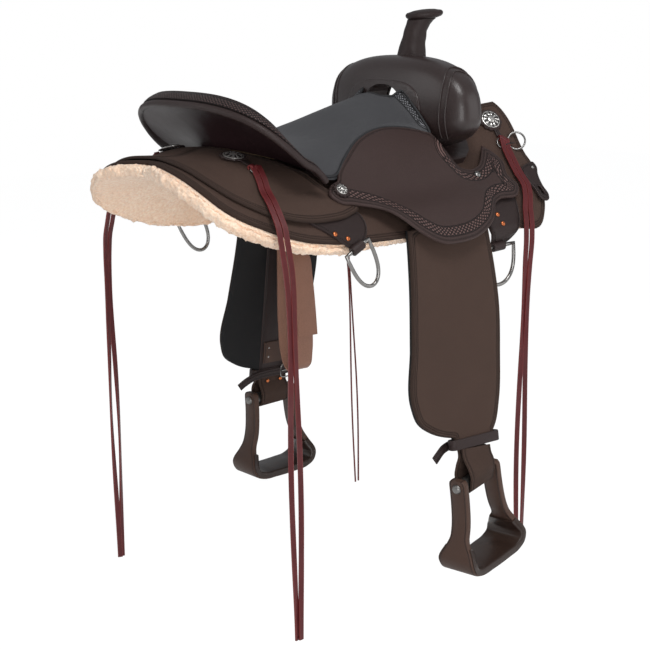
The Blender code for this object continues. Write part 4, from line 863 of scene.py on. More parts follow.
def frame_on(place, s, y, lift):
    """Frame lifted off a laid piece's face: Z along its outward normal, Y forwards."""
    point = place(s, y, 1.0)
    reach = 0.004
    along_s = place(s + reach, y, 1.0) - place(s - reach, y, 1.0)
    along_y = place(s, y + reach, 1.0) - place(s, y - reach, 1.0)
    normal = along_s.cross(along_y).normalized()
    forward = (along_y - normal * along_y.dot(normal)).normalized()
    basis = Matrix((forward.cross(normal), forward, normal)).transposed().to_4x4()
    return Matrix.Translation(point + normal * lift) @ basis


def mirrored(outline, side):
    return [(p[0] * side, p[1]) for p in outline]


def join(objects, name):
    """Several small like pieces as one object."""
    first = objects[0]
    with bpy.context.temp_override(active_object=first, object=first, selected_objects=objects,
                                   selected_editable_objects=objects):
        bpy.ops.object.join()
    first.name = name
    return first


def rivets(name, spots, radius, finish, body):
    """Domed rivets at a list of frames."""
    dome = ((1, 0), (1, 0.18), (0.82, 0.42), (0.45, 0.58), (0.05, 0.62))
    profile = [(radius * out, radius * up) for out, up in dome]
    made = [turned(f"{name}_{k}", profile, spot, finish, 20) for k, spot in enumerate(spots)]
    dress(join(made, name), body, "steel")


def pile_roll(name, outline, place, radius, grain, side):
    """Fleece that stands out round the lining's edge, with its curls."""
    line = through(outline, 0.0034, closed=False)
    rings, count = [], 16
    for i, p in enumerate(line):
        before, after = line[max(i - 1, 0)], line[min(i + 1, len(line) - 1)]
        along = Vector((after[0] - before[0], after[1] - before[1])).normalized()
        out = Vector((along.y, -along.x)) * side
        ring = []
        for k in range(count):
            a = 2 * math.pi * k / count
            reach = math.cos(a) * radius - 0.0005
            level = 0.46 + math.sin(a) * 0.54
            q = place(p[0] + out.x * reach, p[1] + out.y * reach, level)
            lump = noise.noise(q * 150) * 0.9 + noise.noise(q * 380) * 0.5 + noise.noise(q * 55) * 0.8
            outward = (q - place(p[0], p[1], 0.5)).normalized()
            ring.append(q + outward * lump * grain)
        rings.append(ring)
    return skin(name, rings, "fleece", angle=80)


class SaddlePiece:
    """What all operators of the saddle share."""
    bl_options = {"REGISTER", "UNDO"}


class SADDLE_OT_stage(SaddlePiece, bpy.types.Operator):
    """Camera at the photograph's viewing angle, a pale floor and soft studio light"""
    bl_idname = "saddle.stage"
    bl_label = "Stage"

    def execute(self, context):
        self.camera(context)
        self.floor(context)
        self.world(context)
        self.lamps(context)
        context.scene.view_settings.view_transform = "Standard"
        return {"FINISHED"}

    def camera(self, context):
        yaw, pitch, roll = CAMERA_YAW, CAMERA_PITCH, CAMERA_ROLL
        ahead = Vector((-math.sin(yaw) * math.cos(pitch), math.cos(yaw) * math.cos(pitch), -math.sin(pitch)))
        right = Vector((math.cos(yaw), math.sin(yaw), 0))
        up = right.cross(ahead)
        rolled = right * math.cos(roll) + up * math.sin(roll)
        level = up * math.cos(roll) - right * math.sin(roll)
        data = bpy.data.cameras.new("photograph_view")
        data.sensor_width = SENSOR
        data.lens = CAMERA_FOCAL_PX / PHOTO_SIDE_PX * SENSOR
        camera = bpy.data.objects.new("photograph_view", data)
        basis = Matrix((rolled, level, -ahead)).transposed().to_4x4()
        camera.matrix_world = Matrix.Translation(CAMERA_AT) @ basis
        context.scene.collection.objects.link(camera)
        context.scene.camera = camera

    def floor(self, context):
        mesh = bpy.data.meshes.new("floor")
        corners = [(a * FLOOR_HALF, b * FLOOR_HALF, FLOOR_Z) for a, b in ((-1, -1), (1, -1), (1, 1), (-1, 1))]
        mesh.from_pydata(corners, [], [(0, 1, 2, 3)])
        m = Finish("pale_floor")
        grain = m.noise(3.0, 2.0)
        m.set(base_color=m.mix(grain, (0.80, 0.80, 0.80), (0.84, 0.84, 0.84)), roughness=0.9)
        rays = m.node("ShaderNodeLightPath", out="Is Camera Ray")
        seen = rays.most(Sock(m, rays.socket.node.outputs["Is Glossy Ray"]))
        white = m.node("ShaderNodeEmission", {}, {"Color": (1.0, 1.0, 1.0), "Strength": FLOOR_GLOW})
        matt = Sock(m, m.shader.outputs[0])
        both = m.node("ShaderNodeMixShader", {}, {0: seen * FLOOR_GLOW_SHARE, 1: matt, 2: white})
        output = m.tree.nodes["Material Output"]
        m.tree.links.new(both.socket, output.inputs["Surface"])
        floor = bpy.data.objects.new("floor", mesh)
        mesh.materials.append(m.material)
        context.scene.collection.objects.link(floor)

    def world(self, context):
        world = bpy.data.worlds.new("studio")
        world.use_nodes = True
        context.scene.world = world
        nodes, links = world.node_tree.nodes, world.node_tree.links
        rays = nodes.new("ShaderNodeLightPath")
        lit, seen = nodes["Background"], nodes.new("ShaderNodeBackground")
        lit.inputs[0].default_value = SKY_COLOUR
        lit.inputs[1].default_value = SKY_LIGHT
        seen.inputs[0].default_value = (1, 1, 1, 1)
        seen.inputs[1].default_value = 1.0
        either = nodes.new("ShaderNodeMath")
        either.operation = "MAXIMUM"
        links.new(rays.outputs["Is Camera Ray"], either.inputs[0])
        links.new(rays.outputs["Is Transmission Ray"], either.inputs[1])
        both = nodes.new("ShaderNodeMixShader")
        links.new(either.outputs[0], both.inputs[0])
        links.new(lit.outputs[0], both.inputs[1])
        links.new(seen.outputs[0], both.inputs[2])
        links.new(both.outputs[0], nodes["World Output"].inputs["Surface"])

    def lamps(self, context):
        target = Vector(LAMP_TARGET)
        for name, place, size, power in LAMPS:
            data = bpy.data.lights.new(name, "AREA")
            data.size, data.energy = size, power
            lamp = bpy.data.objects.new(name, data)
            lamp.location = place
            lamp.rotation_euler = (target - Vector(place)).to_track_quat("-Z", "Y").to_euler()
            context.scene.collection.objects.link(lamp)


def lace_route(place, side, tail):
    """Route of one lace, the same points as its solid's."""
    route = REAR_STRING if place == "rear" else FRONT_STRING
    shift = -tail * STRING_SPREAD if place == "rear" else tail * STRING_SPREAD
    points = [(x * side, y + shift, z) for x, y, z in route]
    if place == "rear" and side < 0:
        points = [(x, y + LEFT_REAR_SHIFT * step(-x, 0.15, 0.22), z) for x, y, z in points]
    return points


class SADDLE_OT_laces(SaddlePiece, bpy.types.Operator):
    """Saddle strings: two flat laces hang from each of the four conchos"""
    bl_idname = "saddle.laces"
    bl_label = "Laces"

    def execute(self, context):
        sizes = context.scene.saddle_sizes
        for label, side in SIDES.items():
            for place in ("rear", "front"):
                for tail in (0, 1):
                    self.lace(place, label, side, tail, sizes)
        return {"FINISHED"}

    def lace(self, place, label, side, tail, sizes):
        route = [Vector(p) for p in through(lace_route(place, side, tail), 0.010)]
        turn = 0.5 + 0.9 * tail
        apart = 1 if tail == (place == "front") else -1
        for k, point in enumerate(route):
            share = k / (len(route) - 1)
            wave = math.sin(share * 9.5 + (1.2 if place == "rear" else 0.2)) * step(share, 0.22, 0.45)
            point += Vector((apart * side * 0.0012, apart * 0.0026 * wave, 0.0)) * step(share, 0.1, 0.3)

        def across(t):
            if place == "front" and side < 0:
                return Vector((-0.80, 0.60, 0.0))
            sway = 0.25 + 0.55 * math.sin(t * 3.1 * math.pi + turn) * step(t, 0.25, 0.6)
            return Vector((math.sin(sway) * side, math.cos(sway), 0.0))
        width = sizes.lace_width
        lace = strap(f"lace_{place}_{label}_{tail + 1}", route, across, width, sizes.lace_thickness, "lace")
        dress(lace, "saddle", "string_leather", f"{place}_string_{label}_{tail + 1}")


class SADDLE_OT_lining(SaddlePiece, bpy.types.Operator):
    """Fleece lining with its pile round the edge"""
    bl_idname = "saddle.lining"
    bl_label = "Fleece lining"

    def execute(self, context):
        pile = context.scene.saddle_sizes.pile
        for label, side in SIDES.items():
            edge = mirrored(through(FLEECE_EDGE, 0.008, closed=True, corners=LAYER_CORNERS), side)
            lining = panel(f"lining_{label}", edge, FLEECE_LAY, "fleece", 0.010, 0.005, 0.4)
            dress(lining, "saddle", "fleece", f"fleece_{label}")
            half = mirrored(FLEECE_EDGE[:PILE_STATIONS], side)
            roll = pile_roll(f"pile_{label}", half, FLEECE_LAY, pile, 0.0038, -side)
            dress(roll, "saddle", "fleece")
        return {"FINISHED"}


class SADDLE_OT_skirts(SaddlePiece, bpy.types.Operator):
    """Cordura skirts with a sewn edge"""
    bl_idname = "saddle.skirts"
    bl_label = "Skirts"

    def execute(self, context):
        for label, side in SIDES.items():
            edge = mirrored(through(SKIRT_EDGE, 0.007, closed=True, corners=LAYER_CORNERS), side)
            skirt = panel(f"cordura_skirt_{label}", edge, SKIRT_LAY, "cordura_piped", 0.009, 0.0020)
            dress(skirt, "saddle", "cordura", f"skirt_{label}")
        return {"FINISHED"}


class SADDLE_OT_jockeys(SaddlePiece, bpy.types.Operator):
    """Rear jockeys and side jockeys"""
    bl_idname = "saddle.jockeys"
    bl_label = "Jockeys"

    def execute(self, context):
        for label, side in SIDES.items():
            edge = mirrored(through(REAR_JOCKEY_EDGE, 0.006, closed=True, corners=REAR_JOCKEY_CORNERS), side)
            rear = panel(f"cordura_jockey_{label}", edge, REAR_JOCKEY_LAY, "cordura_piped", 0.008, 0.0016)
            dress(rear, "saddle", "cordura", f"rear_jockey_{label}")
            edge = mirrored(through(SIDE_JOCKEY_EDGE, 0.006, closed=True, corners=SIDE_JOCKEY_CORNERS), side)
            border = mirrored(through(SIDE_JOCKEY_EDGE[8:31], 0.006, corners=(5,)), side)
            flap = panel(f"leather_jockey_{label}", edge, SIDE_JOCKEY_LAY, "jockey", 0.007, 0.0014,
                         lines={"band": (border, False)})
            dress(flap, "saddle", "jockey_leather", f"side_jockey_{label}")
        return {"FINISHED"}


def fork_radius(unit):
    """Point of the swell's outer form in the direction of a unit vector."""
    plan, crown = FORK_PLAN_POWER, FORK_CROWN_POWER if unit[2] > 0 else FORK_FOOT_POWER
    value = (abs(unit[0]) ** plan + abs(unit[1]) ** plan) ** (crown / plan) + abs(unit[2]) ** crown
    return value ** (-1 / crown)


def on_fork(direction, lift=0.0):
    """Point of the fork's skin in a direction from its centre."""
    unit = Vector(direction).normalized()
    scale = fork_radius(unit)
    tall = FORK_CROWN if unit.z > 0 else FORK_FOOT
    return Vector((unit.x * scale * (FORK_HALF_WIDTH + lift),
                   FORK_Y + unit.y * scale * (FORK_HALF_DEPTH + lift),
                   FORK_Z + unit.z * scale * (tall + lift)))


def cut(obj, cutter):
    """Takes one shape out of another and removes the cutter."""
    modifier = obj.modifiers.new("cut", "BOOLEAN")
    modifier.object, modifier.operation = cutter, "DIFFERENCE"
    bpy.context.view_layer.update()
    done = bpy.data.meshes.new_from_object(obj.evaluated_get(bpy.context.evaluated_depsgraph_get()))
    obj.modifiers.clear()
    old, obj.data = obj.data, done
    bpy.data.meshes.remove(old)
    bpy.data.objects.remove(cutter)


class SADDLE_OT_fork(SaddlePiece, bpy.types.Operator):
    """Swell cover with its welts, and the wrapped horn with its cap"""
    bl_idname = "saddle.fork"
    bl_label = "Fork and horn"

    def execute(self, context):
        self.swell()
        self.apron()
        self.welts()
        self.horn()
        return {"FINISHED"}

    def form(self, name, lift, segments):
        bm = bmesh.new()
        bmesh.ops.create_uvsphere(bm, u_segments=segments, v_segments=segments, radius=1)
        bmesh.ops.rotate(bm, verts=bm.verts, matrix=Matrix.Rotation(math.pi / 2, 3, "Y"))
        for v in bm.verts:
            v.co = on_fork(v.co, lift)
        mesh = bpy.data.meshes.new(name)
        bm.to_mesh(mesh)
        bm.free()
        return link(name, mesh, "fork")

    def swell(self):
        cover = self.form("swell_leather", 0.0, 72)
        cut(cover, self.form("inside", -FORK_COVER, 48))
        arch = []
        for k in range(49):
            turn = math.pi * k / 48
            power = 2 / GULLET_POWER
            x = GULLET_HALF_WIDTH * math.copysign(abs(math.cos(turn)) ** power, math.cos(turn))
            arch.append((x, GULLET_FOOT + (GULLET_TOP - GULLET_FOOT) * abs(math.sin(turn)) ** power))
        arch += [(-GULLET_HALF_WIDTH, -GULLET_FOOT), (GULLET_HALF_WIDTH, -GULLET_FOOT)]
        rings = [[Vector((x, y, z)) for x, z in arch] for y in (0.02, 0.32)]
        cut(cover, skin("gullet", rings, "fork"))
        seat_of_fork = laid(lambda s, y: -0.06, lambda s, y: BAR_TOP + 0.0015 + wither_rise(s, y))
        block = [(-0.27, 0.09), (0.27, 0.09), (0.27, 0.27), (-0.27, 0.27)]
        cut(cover, panel("foot", block, seat_of_fork, "fork", 0.015, 0.001, 0.98))
        smooth_shade(cover.data, 38)
        dress(cover, "saddle", "dark_leather", "swell_cover")

    def apron(self):
        """Cover leather that closes the arch down to the seat, round the hand hole."""
        power = 2 / GULLET_POWER
        outer = [(math.copysign(APRON_HALF_WIDTH * abs(math.cos(a)) ** power, math.cos(a)),
                  GULLET_FOOT + APRON_HEIGHT * math.sin(a) ** power)
                 for a in (math.pi * k / 32 for k in range(2, 31))]
        inner = through([(-0.057, 0.082), (-0.050, 0.100), (-0.037, 0.118), (-0.018, 0.1275), (0.0, 0.1295),
                         (0.018, 0.1275), (0.037, 0.118), (0.050, 0.100), (0.057, 0.082)], 0.006)

        def place(x, z, level):
            height = abs(z - FORK_Z) / (FORK_CROWN if z > FORK_Z else FORK_FOOT)
            plan = (1 - height ** FORK_CROWN_POWER) ** (FORK_PLAN_POWER / FORK_CROWN_POWER)
            plan -= (abs(x) / FORK_HALF_WIDTH) ** FORK_PLAN_POWER
            depth = FORK_HALF_DEPTH * max(plan, 0.02) ** (1 / FORK_PLAN_POWER)
            return Vector((x, FORK_Y - depth + 0.0006 - 0.0030 * level, z))
        apron = panel("gullet_apron", outer + [tuple(p) for p in inner], place, "fork", 0.008, 0.0010)
        dress(apron, "saddle", "dark_leather")

    def welts(self):
        """Raised seams that run over the swell near each end."""
        for label, side in SIDES.items():
            for k, across in enumerate(WELT_SHARES):
                turns = [math.radians(-52 + 284 * j / 43) for j in range(44)]
                points = [on_fork((across * side * 1.4, math.cos(a), math.sin(a) * 1.1), 0.0006)
                          for a in turns]
                above_foot = [p for p in points if p.z > 0.042]
                welt = tube(f"welt_{label}_{k}", above_foot, WELT_RADIUS, "fork", resolution=3)
                dress(welt, "saddle", "dark_leather")

    def horn(self):
        line = [(Vector(p), r) for p, r in HORN_LINE]
        levels = [p.z for p, _ in line]
        rings, rows, count = [], 72, 48
        for i in range(rows):
            share = i / (rows - 1)
            z = levels[0] + 0.012 + (levels[-1] - levels[0] - 0.012) * share
            radius = np.interp(z, levels, [r for _, r in line])
            y = np.interp(z, levels, [p.y for p, _ in line])
            ring = []
            for k in range(count):
                a = 2 * math.pi * k / count
                fold = noise.noise(Vector((math.cos(a) * 1.3, math.sin(a) * 1.3 + share * 5, share * 2.5)))
                reach = radius + fold * 0.0017 * math.sin(math.pi * share) - 0.0004
                ring.append(Vector((math.cos(a) * reach, y + math.sin(a) * reach, z)))
            rings.append(ring)
        for y, z, radius in ((0.2295, 0.2392, 0.0242), (0.2325, 0.2416, 0.0215)):
            rings.append(circle_on(Matrix.Translation((0, y, 0)), radius, count, z))
        wrap = skin("horn_winding", rings, "horn", angle=30)
        dress(wrap, "saddle", "dark_leather", "horn_wrap")
        stretch = Matrix.Diagonal((1, HORN_CAP_STRETCH, 1, 1))
        place = Matrix.Translation(HORN_CAP_AT) @ Matrix.Rotation(HORN_CAP_TILT, 4, "X") @ stretch
        profile = [(0.004, -0.0015), (0.021, -0.001), (0.0275, 0.001), (0.0298, 0.0034), (0.0306, 0.0062),
                   (0.0298, 0.0088), (0.0280, 0.0104), (0.0262, 0.0107), (0.0250, 0.0104), (0.0236, 0.0114),
                   (0.0190, 0.0128), (0.0120, 0.0137), (0.0040, 0.0141), (0.0004, 0.0142)]
        cap = turned("horn_head", profile, place, "horn", 56, 50)
        dress(cap, "saddle", "dark_leather", "horn_cap")


def seat_centre(y):
    """Height of the seat's middle line."""
    return table(y, [(-0.262, 0.136), (-0.240, 0.110), (-0.212, 0.080), (-0.180, 0.062), (-0.140, 0.054),
                     (-0.100, 0.052), (-0.060, 0.0545), (-0.037, 0.060), (0.0, 0.076), (0.033, 0.094),
                     (0.059, 0.104), (0.085, 0.111), (0.112, 0.119), (0.150, 0.148)])


@lru_cache(maxsize=None)
def seam_points():
    """Seam between seat and side jockey."""
    return [SIDE_JOCKEY_LAY(s, y, 1.0) for s, y in SEAM]


def rim_point(t):
    """Outer edge of the cantle rim; t runs from 0 at the rear to 1 at the right tip."""
    turn = RIM_TURN * abs(t)
    power = 2 / RIM_POWER
    x = RIM_HALF_WIDTH * math.copysign(abs(math.sin(turn)) ** power, t)
    y = RIM_CENTRE_Y - RIM_DEPTH * math.copysign(abs(math.cos(turn)) ** power, math.cos(turn))
    return Vector((x, y, RIM_TOP - RIM_DROP * abs(t) ** RIM_FALL_POWER))


def rim_along(t):
    return rim_point(t + 0.02) - rim_point(t - 0.02)


def rim_inward(t):
    along = rim_along(t)
    return Vector((-along.y, along.x, 0)).normalized()


def rim_inner(t):
    """Inner edge of the rim's band, where the seat meets it."""
    rise = 0.020 - 0.009 * abs(t) ** 2
    return rim_point(t) + rim_inward(t) * (RIM_BAND * 0.76) + Vector((0, 0, rise))


@lru_cache(maxsize=None)
def seat_edge(y):
    """Half width and height of the seat's edge at a station."""
    rim = [rim_inner(t) for t in (0.12, 0.25, 0.4, 0.55, 0.7, 0.82, 0.92, 1.0)]
    line = [(p.y, p.x, p.z) for p in rim] + [(p.y, p.x, p.z) for p in seam_points()]
    line.append((0.150, line[-1][1] + 0.008, line[-1][2] - 0.004))
    return (table(y, [(a, b) for a, b, _ in line]), table(y, [(a, c) for a, _, c in line]))


def seat_top(x, y):
    """Height of the padded seat's face."""
    half, low = seat_edge(round(y, 5))
    centre = seat_centre(y)
    power = 4.0 - 2.2 * step(y, -0.14, 0.06)
    return centre - (centre - low) * min(abs(x) / half, 1.2) ** power


def seat_under(x, y):
    thin = step(abs(x) / seat_edge(round(y, 5))[0], 0.35, 0.70) * step(-y, 0.08, 0.14)
    return seat_top(x, y) - SEAT * (1 - 0.65 * thin)


RIM_SHARES = (0.12, 0.25, 0.38, 0.5, 0.62, 0.74, 0.84, 0.92, 0.98)


def seat_outline(inset):
    """Half outline of the seat from the rear to its front corner, drawn in by inset."""
    points = [(0.0, rim_inner(0.0).y + inset)]
    for t in RIM_SHARES:
        p = rim_inner(t) + rim_inward(t) * inset
        points.append((p.x, p.y))
    for p in seam_points()[1:]:
        points.append((p.x - inset, p.y))
    return points


class SADDLE_OT_seat(SaddlePiece, bpy.types.Operator):
    """Padded seat with its piping and inlaid borders"""
    bl_idname = "saddle.seat"
    bl_label = "Seat"

    def execute(self, context):
        half = seat_outline(0.0022)
        half += [(0.105, 0.1355), (0.080, 0.1355), (0.056, 0.1375)]
        hole = [(0.052, 0.1365), (0.044, 0.122), (0.028, 0.1125), (0.0, 0.1105)]
        right = half + hole
        outline = right + [(-x, y) for x, y in reversed(right[1:-1])]
        corners = (18, 21, len(outline) - 18, len(outline) - 21)
        edge = through(outline, 0.006, closed=True, corners=corners)

        def place(x, y, level):
            low, high = seat_under(x, y), seat_top(x, y)
            return Vector((x, y, low + (high - low) * level))

        front = [(0.106, 0.1362), (-0.106, 0.1362)]
        seat = panel("padded_seat", edge, place, "seat", 0.008, 0.0050, 0.45, lines={"band": (front, False)})
        dress(seat, "saddle", "seat_leather", "seat")
        radius = context.scene.saddle_sizes.piping
        line = [place(x, y, 0.72) for x, y in edge]
        piping = tube("seat_piping", line, radius, "piping", True, 3)
        dress(piping, "saddle", "seat_leather")
        return {"FINISHED"}


CANTLE_BASE = [(0.0, -0.218), (0.031, -0.211), (0.068, -0.191), (0.095, -0.165), (0.123, -0.139),
               (0.148, -0.113)]


def shares_along(points):
    """Share of a line's length that lies before each of its points."""
    steps = [0.0] + [math.dist(a, b) for a, b in zip(points, points[1:])]
    return [float(run) / sum(steps) for run in np.cumsum(steps)]


@lru_cache(maxsize=None)
def base_point(t):
    """Foot of the cantle's back on the jockeys."""
    places = [k / 40 for k in range(41)]
    share = float(np.interp(abs(t), places, shares_along([rim_point(k) for k in places])))
    stations = shares_along(CANTLE_BASE)
    s = table(share, [(a, p[0]) for a, p in zip(stations, CANTLE_BASE)])
    y = table(share, [(a, p[1]) for a, p in zip(stations, CANTLE_BASE)])
    return lay(math.copysign(s, t), y, rear_jockey_top(s, y) + 0.0010)


class SADDLE_OT_cantle(SaddlePiece, bpy.types.Operator):
    """Glossy back of the cantle and its tooled rim"""
    bl_idname = "saddle.cantle"
    bl_label = "Cantle"

    def execute(self, context):
        back = []
        for k in range(-48, 49):
            t = CANTLE_REACH * k / 48
            foot, top = base_point(t), rim_point(t)
            up = top - foot
            inward = up.cross(rim_along(t)).normalized()
            tall, up = up.length, up.normalized()
            hollow = CANTLE_HOLLOW * (1 - step(abs(t), 0.0, 0.6))
            levels = [-0.002 + (tall + 0.001) * j / 12 for j in range(13)]

            def at(height, depth):
                bow = hollow * math.sin(math.pi * min(max(height / tall, 0.0), 1.0))
                return foot + up * height + inward * (depth + bow)
            back.append([at(v, 0.0) for v in levels] + [at(v, CANTLE_COVER) for v in reversed(levels)])
        cover = skin("cantle_leather_back", back, "cantle", angle=50)
        dress(cover, "saddle", "dark_leather", "cantle_back")
        self.rim()
        return {"FINISHED"}

    def rim(self):
        """Rolled edge and the flat tooled band inside it."""
        rings, marks = [], None
        for k in range(-60, 61):
            t = k / 60
            outer = rim_point(t)
            band = rim_inner(t) - outer
            band_out = band.normalized()
            face = rim_along(t).cross(band_out).normalized()
            ring, marks = [], []
            roll = RIM_ROLL * 0.55
            for j in range(9):
                a = math.radians(235 - 215 * j / 8)
                ring.append(outer + band_out * (roll * 0.55 + roll * 1.05 * math.cos(a))
                            + face * (roll * math.sin(a) * 0.95 - roll * 0.15))
                marks.append(0.0)
            width = band.length
            for share, rise in RIM_FACE:
                ring.append(outer + band * share + face * rise)
                marks.append((1.0 - share) * width)
            for share, rise in RIM_BACK:
                ring.append(outer + band * share + face * rise)
                marks.append(0.0)
            rings.append(ring)
        runs = [0.0]
        for a, b in zip(rings, rings[1:]):
            runs.append(runs[-1] + (b[10] - a[10]).length)
        edge = {"band": lambda i, k: marks[k], "bandrun": lambda i, k: runs[i],
                "rim": lambda i, k: marks[k], "run": lambda i, k: runs[i]}
        rim = skin("cantle_rim", rings, "rim", angle=60, measures=edge)
        dress(rim, "saddle", "dark_leather", "cantle_roll")


def hanger_frame(side):
    """Frame of the hanging plane: X out, Y forwards, Z up the plane, origin at the pivot."""
    origin = Vector((side * HANGER_X, HANGER_Y, HANGER_Z))
    lean = Matrix.Rotation(-HANGER_LEAN, 4, "Y")
    return Matrix.Translation(origin) @ Matrix.Scale(side, 4, (1, 0, 0)) @ lean


def in_hanger(side, out, y, run):
    """World point at a distance out of the hanging plane, a station and a run down it."""
    return hanger_frame(side) @ Vector((out, y - HANGER_Y, -run))


def bolt_frame(label, side):
    """Frame of the stirrup bolt: Y along the bolt to the front, Z up, X out."""
    place = in_hanger(side, 0.004, HANGER_Y, BOLT_RUN[label])
    tilt = Matrix.Rotation(BOLT_TILT[label], 4, "X")
    yaw = Matrix.Rotation(BOLT_YAW[label] * side, 4, "Z")
    return Matrix.Translation(place) @ yaw @ tilt


class SADDLE_OT_hangers(SaddlePiece, bpy.types.Operator):
    """Fenders, their lining, stirrup leathers, loops and hobble straps"""
    bl_idname = "saddle.hangers"
    bl_label = "Fenders"

    def execute(self, context):
        for label, side in SIDES.items():
            body = f"hanger_{label}"
            shorter = NECK_RUN[label] / NECK_RUN["right"]

            def sheet(low, high):
                def place(y, run, level):
                    return in_hanger(side, low + (high - low) * level, y, run * shorter)
                return place
            edge = through(FENDER_EDGE, 0.006, closed=True, corners=FENDER_CORNERS)
            outer = panel(f"cordura_fender_{label}", edge, sheet(LINING + GAP, LINING + GAP + FENDER),
                          "cordura_piped", 0.010, 0.0018)
            dress(outer, body, "cordura", f"fender_{label}")
            inner = panel(f"fender_back_{label}", edge, sheet(LINING, 0.0), "neoprene", 0.012, 0.0014)
            dress(inner, body, "neoprene", f"fender_lining_{label}")
            self.leather(label, body, sheet)
            self.loop(label, side, body)
            self.hobble(label, side, body)
        return {"FINISHED"}

    def leather(self, label, body, sheet):
        half = STRAP_WIDTH / 2
        crown = [(HANGER_Y + half * math.cos(a), STRAP_SHOULDER - half * math.sin(a))
                 for a in (math.pi * k / 16 for k in range(1, 16))]
        rim = [(HANGER_Y - half, STRAP_SHOULDER)] + list(reversed(crown))
        rim += [(HANGER_Y + half, STRAP_SHOULDER), (HANGER_Y + half, 0.395), (HANGER_Y - half, 0.395)]
        leather = panel(f"leather_{label}", rim, sheet(LINING - STRAP - GAP, -0.0012), "dark", 0.02, 0.0012)
        dress(leather, body, "dark_leather", f"stirrup_leather_{label}")

    def loop(self, label, side, body):
        """Loop that the stirrup bolt hangs in, twisted to follow the bolt."""
        reach = BOLT_RUN[label] - NECK_RUN[label]
        bend = ROLLER_RADIUS + 0.0010 + LOOP_THICKNESS / 2
        around = [math.pi * k / 8 for k in range(9)]
        path = [(0.0085, -reach + 0.0008), (0.0095, -reach * 0.78), (0.0160, -reach * 0.48),
                (0.0175, -reach * 0.24)]
        path += [(bend * math.cos(a), bend * math.sin(a)) for a in around]
        path += [(-0.0165, -reach * 0.24), (-0.0125, -reach * 0.48), (-0.0035, -reach * 0.78),
                 (-0.0012, -reach + 0.0008)]
        path = through(path, 0.003)
        bolt = bolt_frame(label, side)
        points, shares = [], []
        for out, down in path:
            hung = in_hanger(side, out + 0.004, HANGER_Y, BOLT_RUN[label] + down)
            turned_point = bolt @ Vector((out * side, 0, -down))
            share = step(down, -reach, -0.01)
            points.append(hung.lerp(turned_point, share))
            shares.append(share)
        straight, along = Vector((0, 1, 0)), bolt.to_3x3() @ Vector((0, 1, 0))

        def across(t):
            k = t * (len(points) - 1)
            i = min(int(k), len(points) - 2)
            return straight.lerp(along, shares[i] + (shares[i + 1] - shares[i]) * (k - i))
        loop = strap(f"loop_{label}", points, across, LOOP_WIDTH, LOOP_THICKNESS, "loop")
        dress(loop, body, "cordura", f"stirrup_loop_{label}")

    def hobble(self, label, side, body):
        """Hobble strap round the fender's neck."""
        low, high = NECK_RUN[label] - 0.018, NECK_RUN[label] - 0.001
        y0, y1 = HANGER_Y - HOBBLE_REAR, HANGER_Y + HOBBLE_FRONT
        inner, outer = -0.0012, LINING + GAP + FENDER + 0.0008
        radius, thick = HOBBLE_CORNER, HOBBLE_THICKNESS
        rings = []
        for cy, cx, start in ((y1 - radius, outer - radius, 0), (y0 + radius, outer - radius, 90),
                              (y0 + radius, inner + radius, 180), (y1 - radius, inner + radius, 270)):
            for k in range(7):
                a = math.radians(start + 15 * k)
                ring = []
                for grow, run in ((0, low), (thick * 0.7, low), (thick, low + 0.0015), (thick, high - 0.0015),
                                  (thick * 0.7, high), (0, high)):
                    r = radius + grow
                    ring.append(in_hanger(side, cx + r * math.sin(a), cy + r * math.cos(a), run))
                rings.append(ring)
        hobble = skin(f"hobble_{label}", rings, "dark", closed=True, angle=50)
        dress(hobble, body, "dark_leather", f"hobble_strap_{label}")


BOW_SHAPE = [(-1, -0.5), (-0.97, -0.85), (-0.9, -1), (0, -1), (0.9, -1), (0.97, -0.85), (1, -0.5), (1, 0.5),
             (0.97, 0.85), (0.9, 1), (0, 1), (-0.9, 1), (-0.97, 0.85), (-1, 0.5)]


def bow_station(line, i):
    """Point on the bow's centre line, the way to its inside and its width there."""
    p = line[i]
    ahead = line[min(i + 1, len(line) - 1)] - line[max(i - 1, 0)]
    ahead = ahead / np.linalg.norm(ahead)
    narrow = BRANCH_DEPTH * 0.84
    wide = narrow + (TREAD_DEPTH - narrow) * step(-p[1], 0.082, 0.128)
    end = min(1.0, min(i, len(line) - 1 - i) * 0.004 / 0.012)
    return p, np.array([ahead[1], -ahead[0]]), wide * (0.72 + 0.28 * math.sqrt(end * (2 - end)))


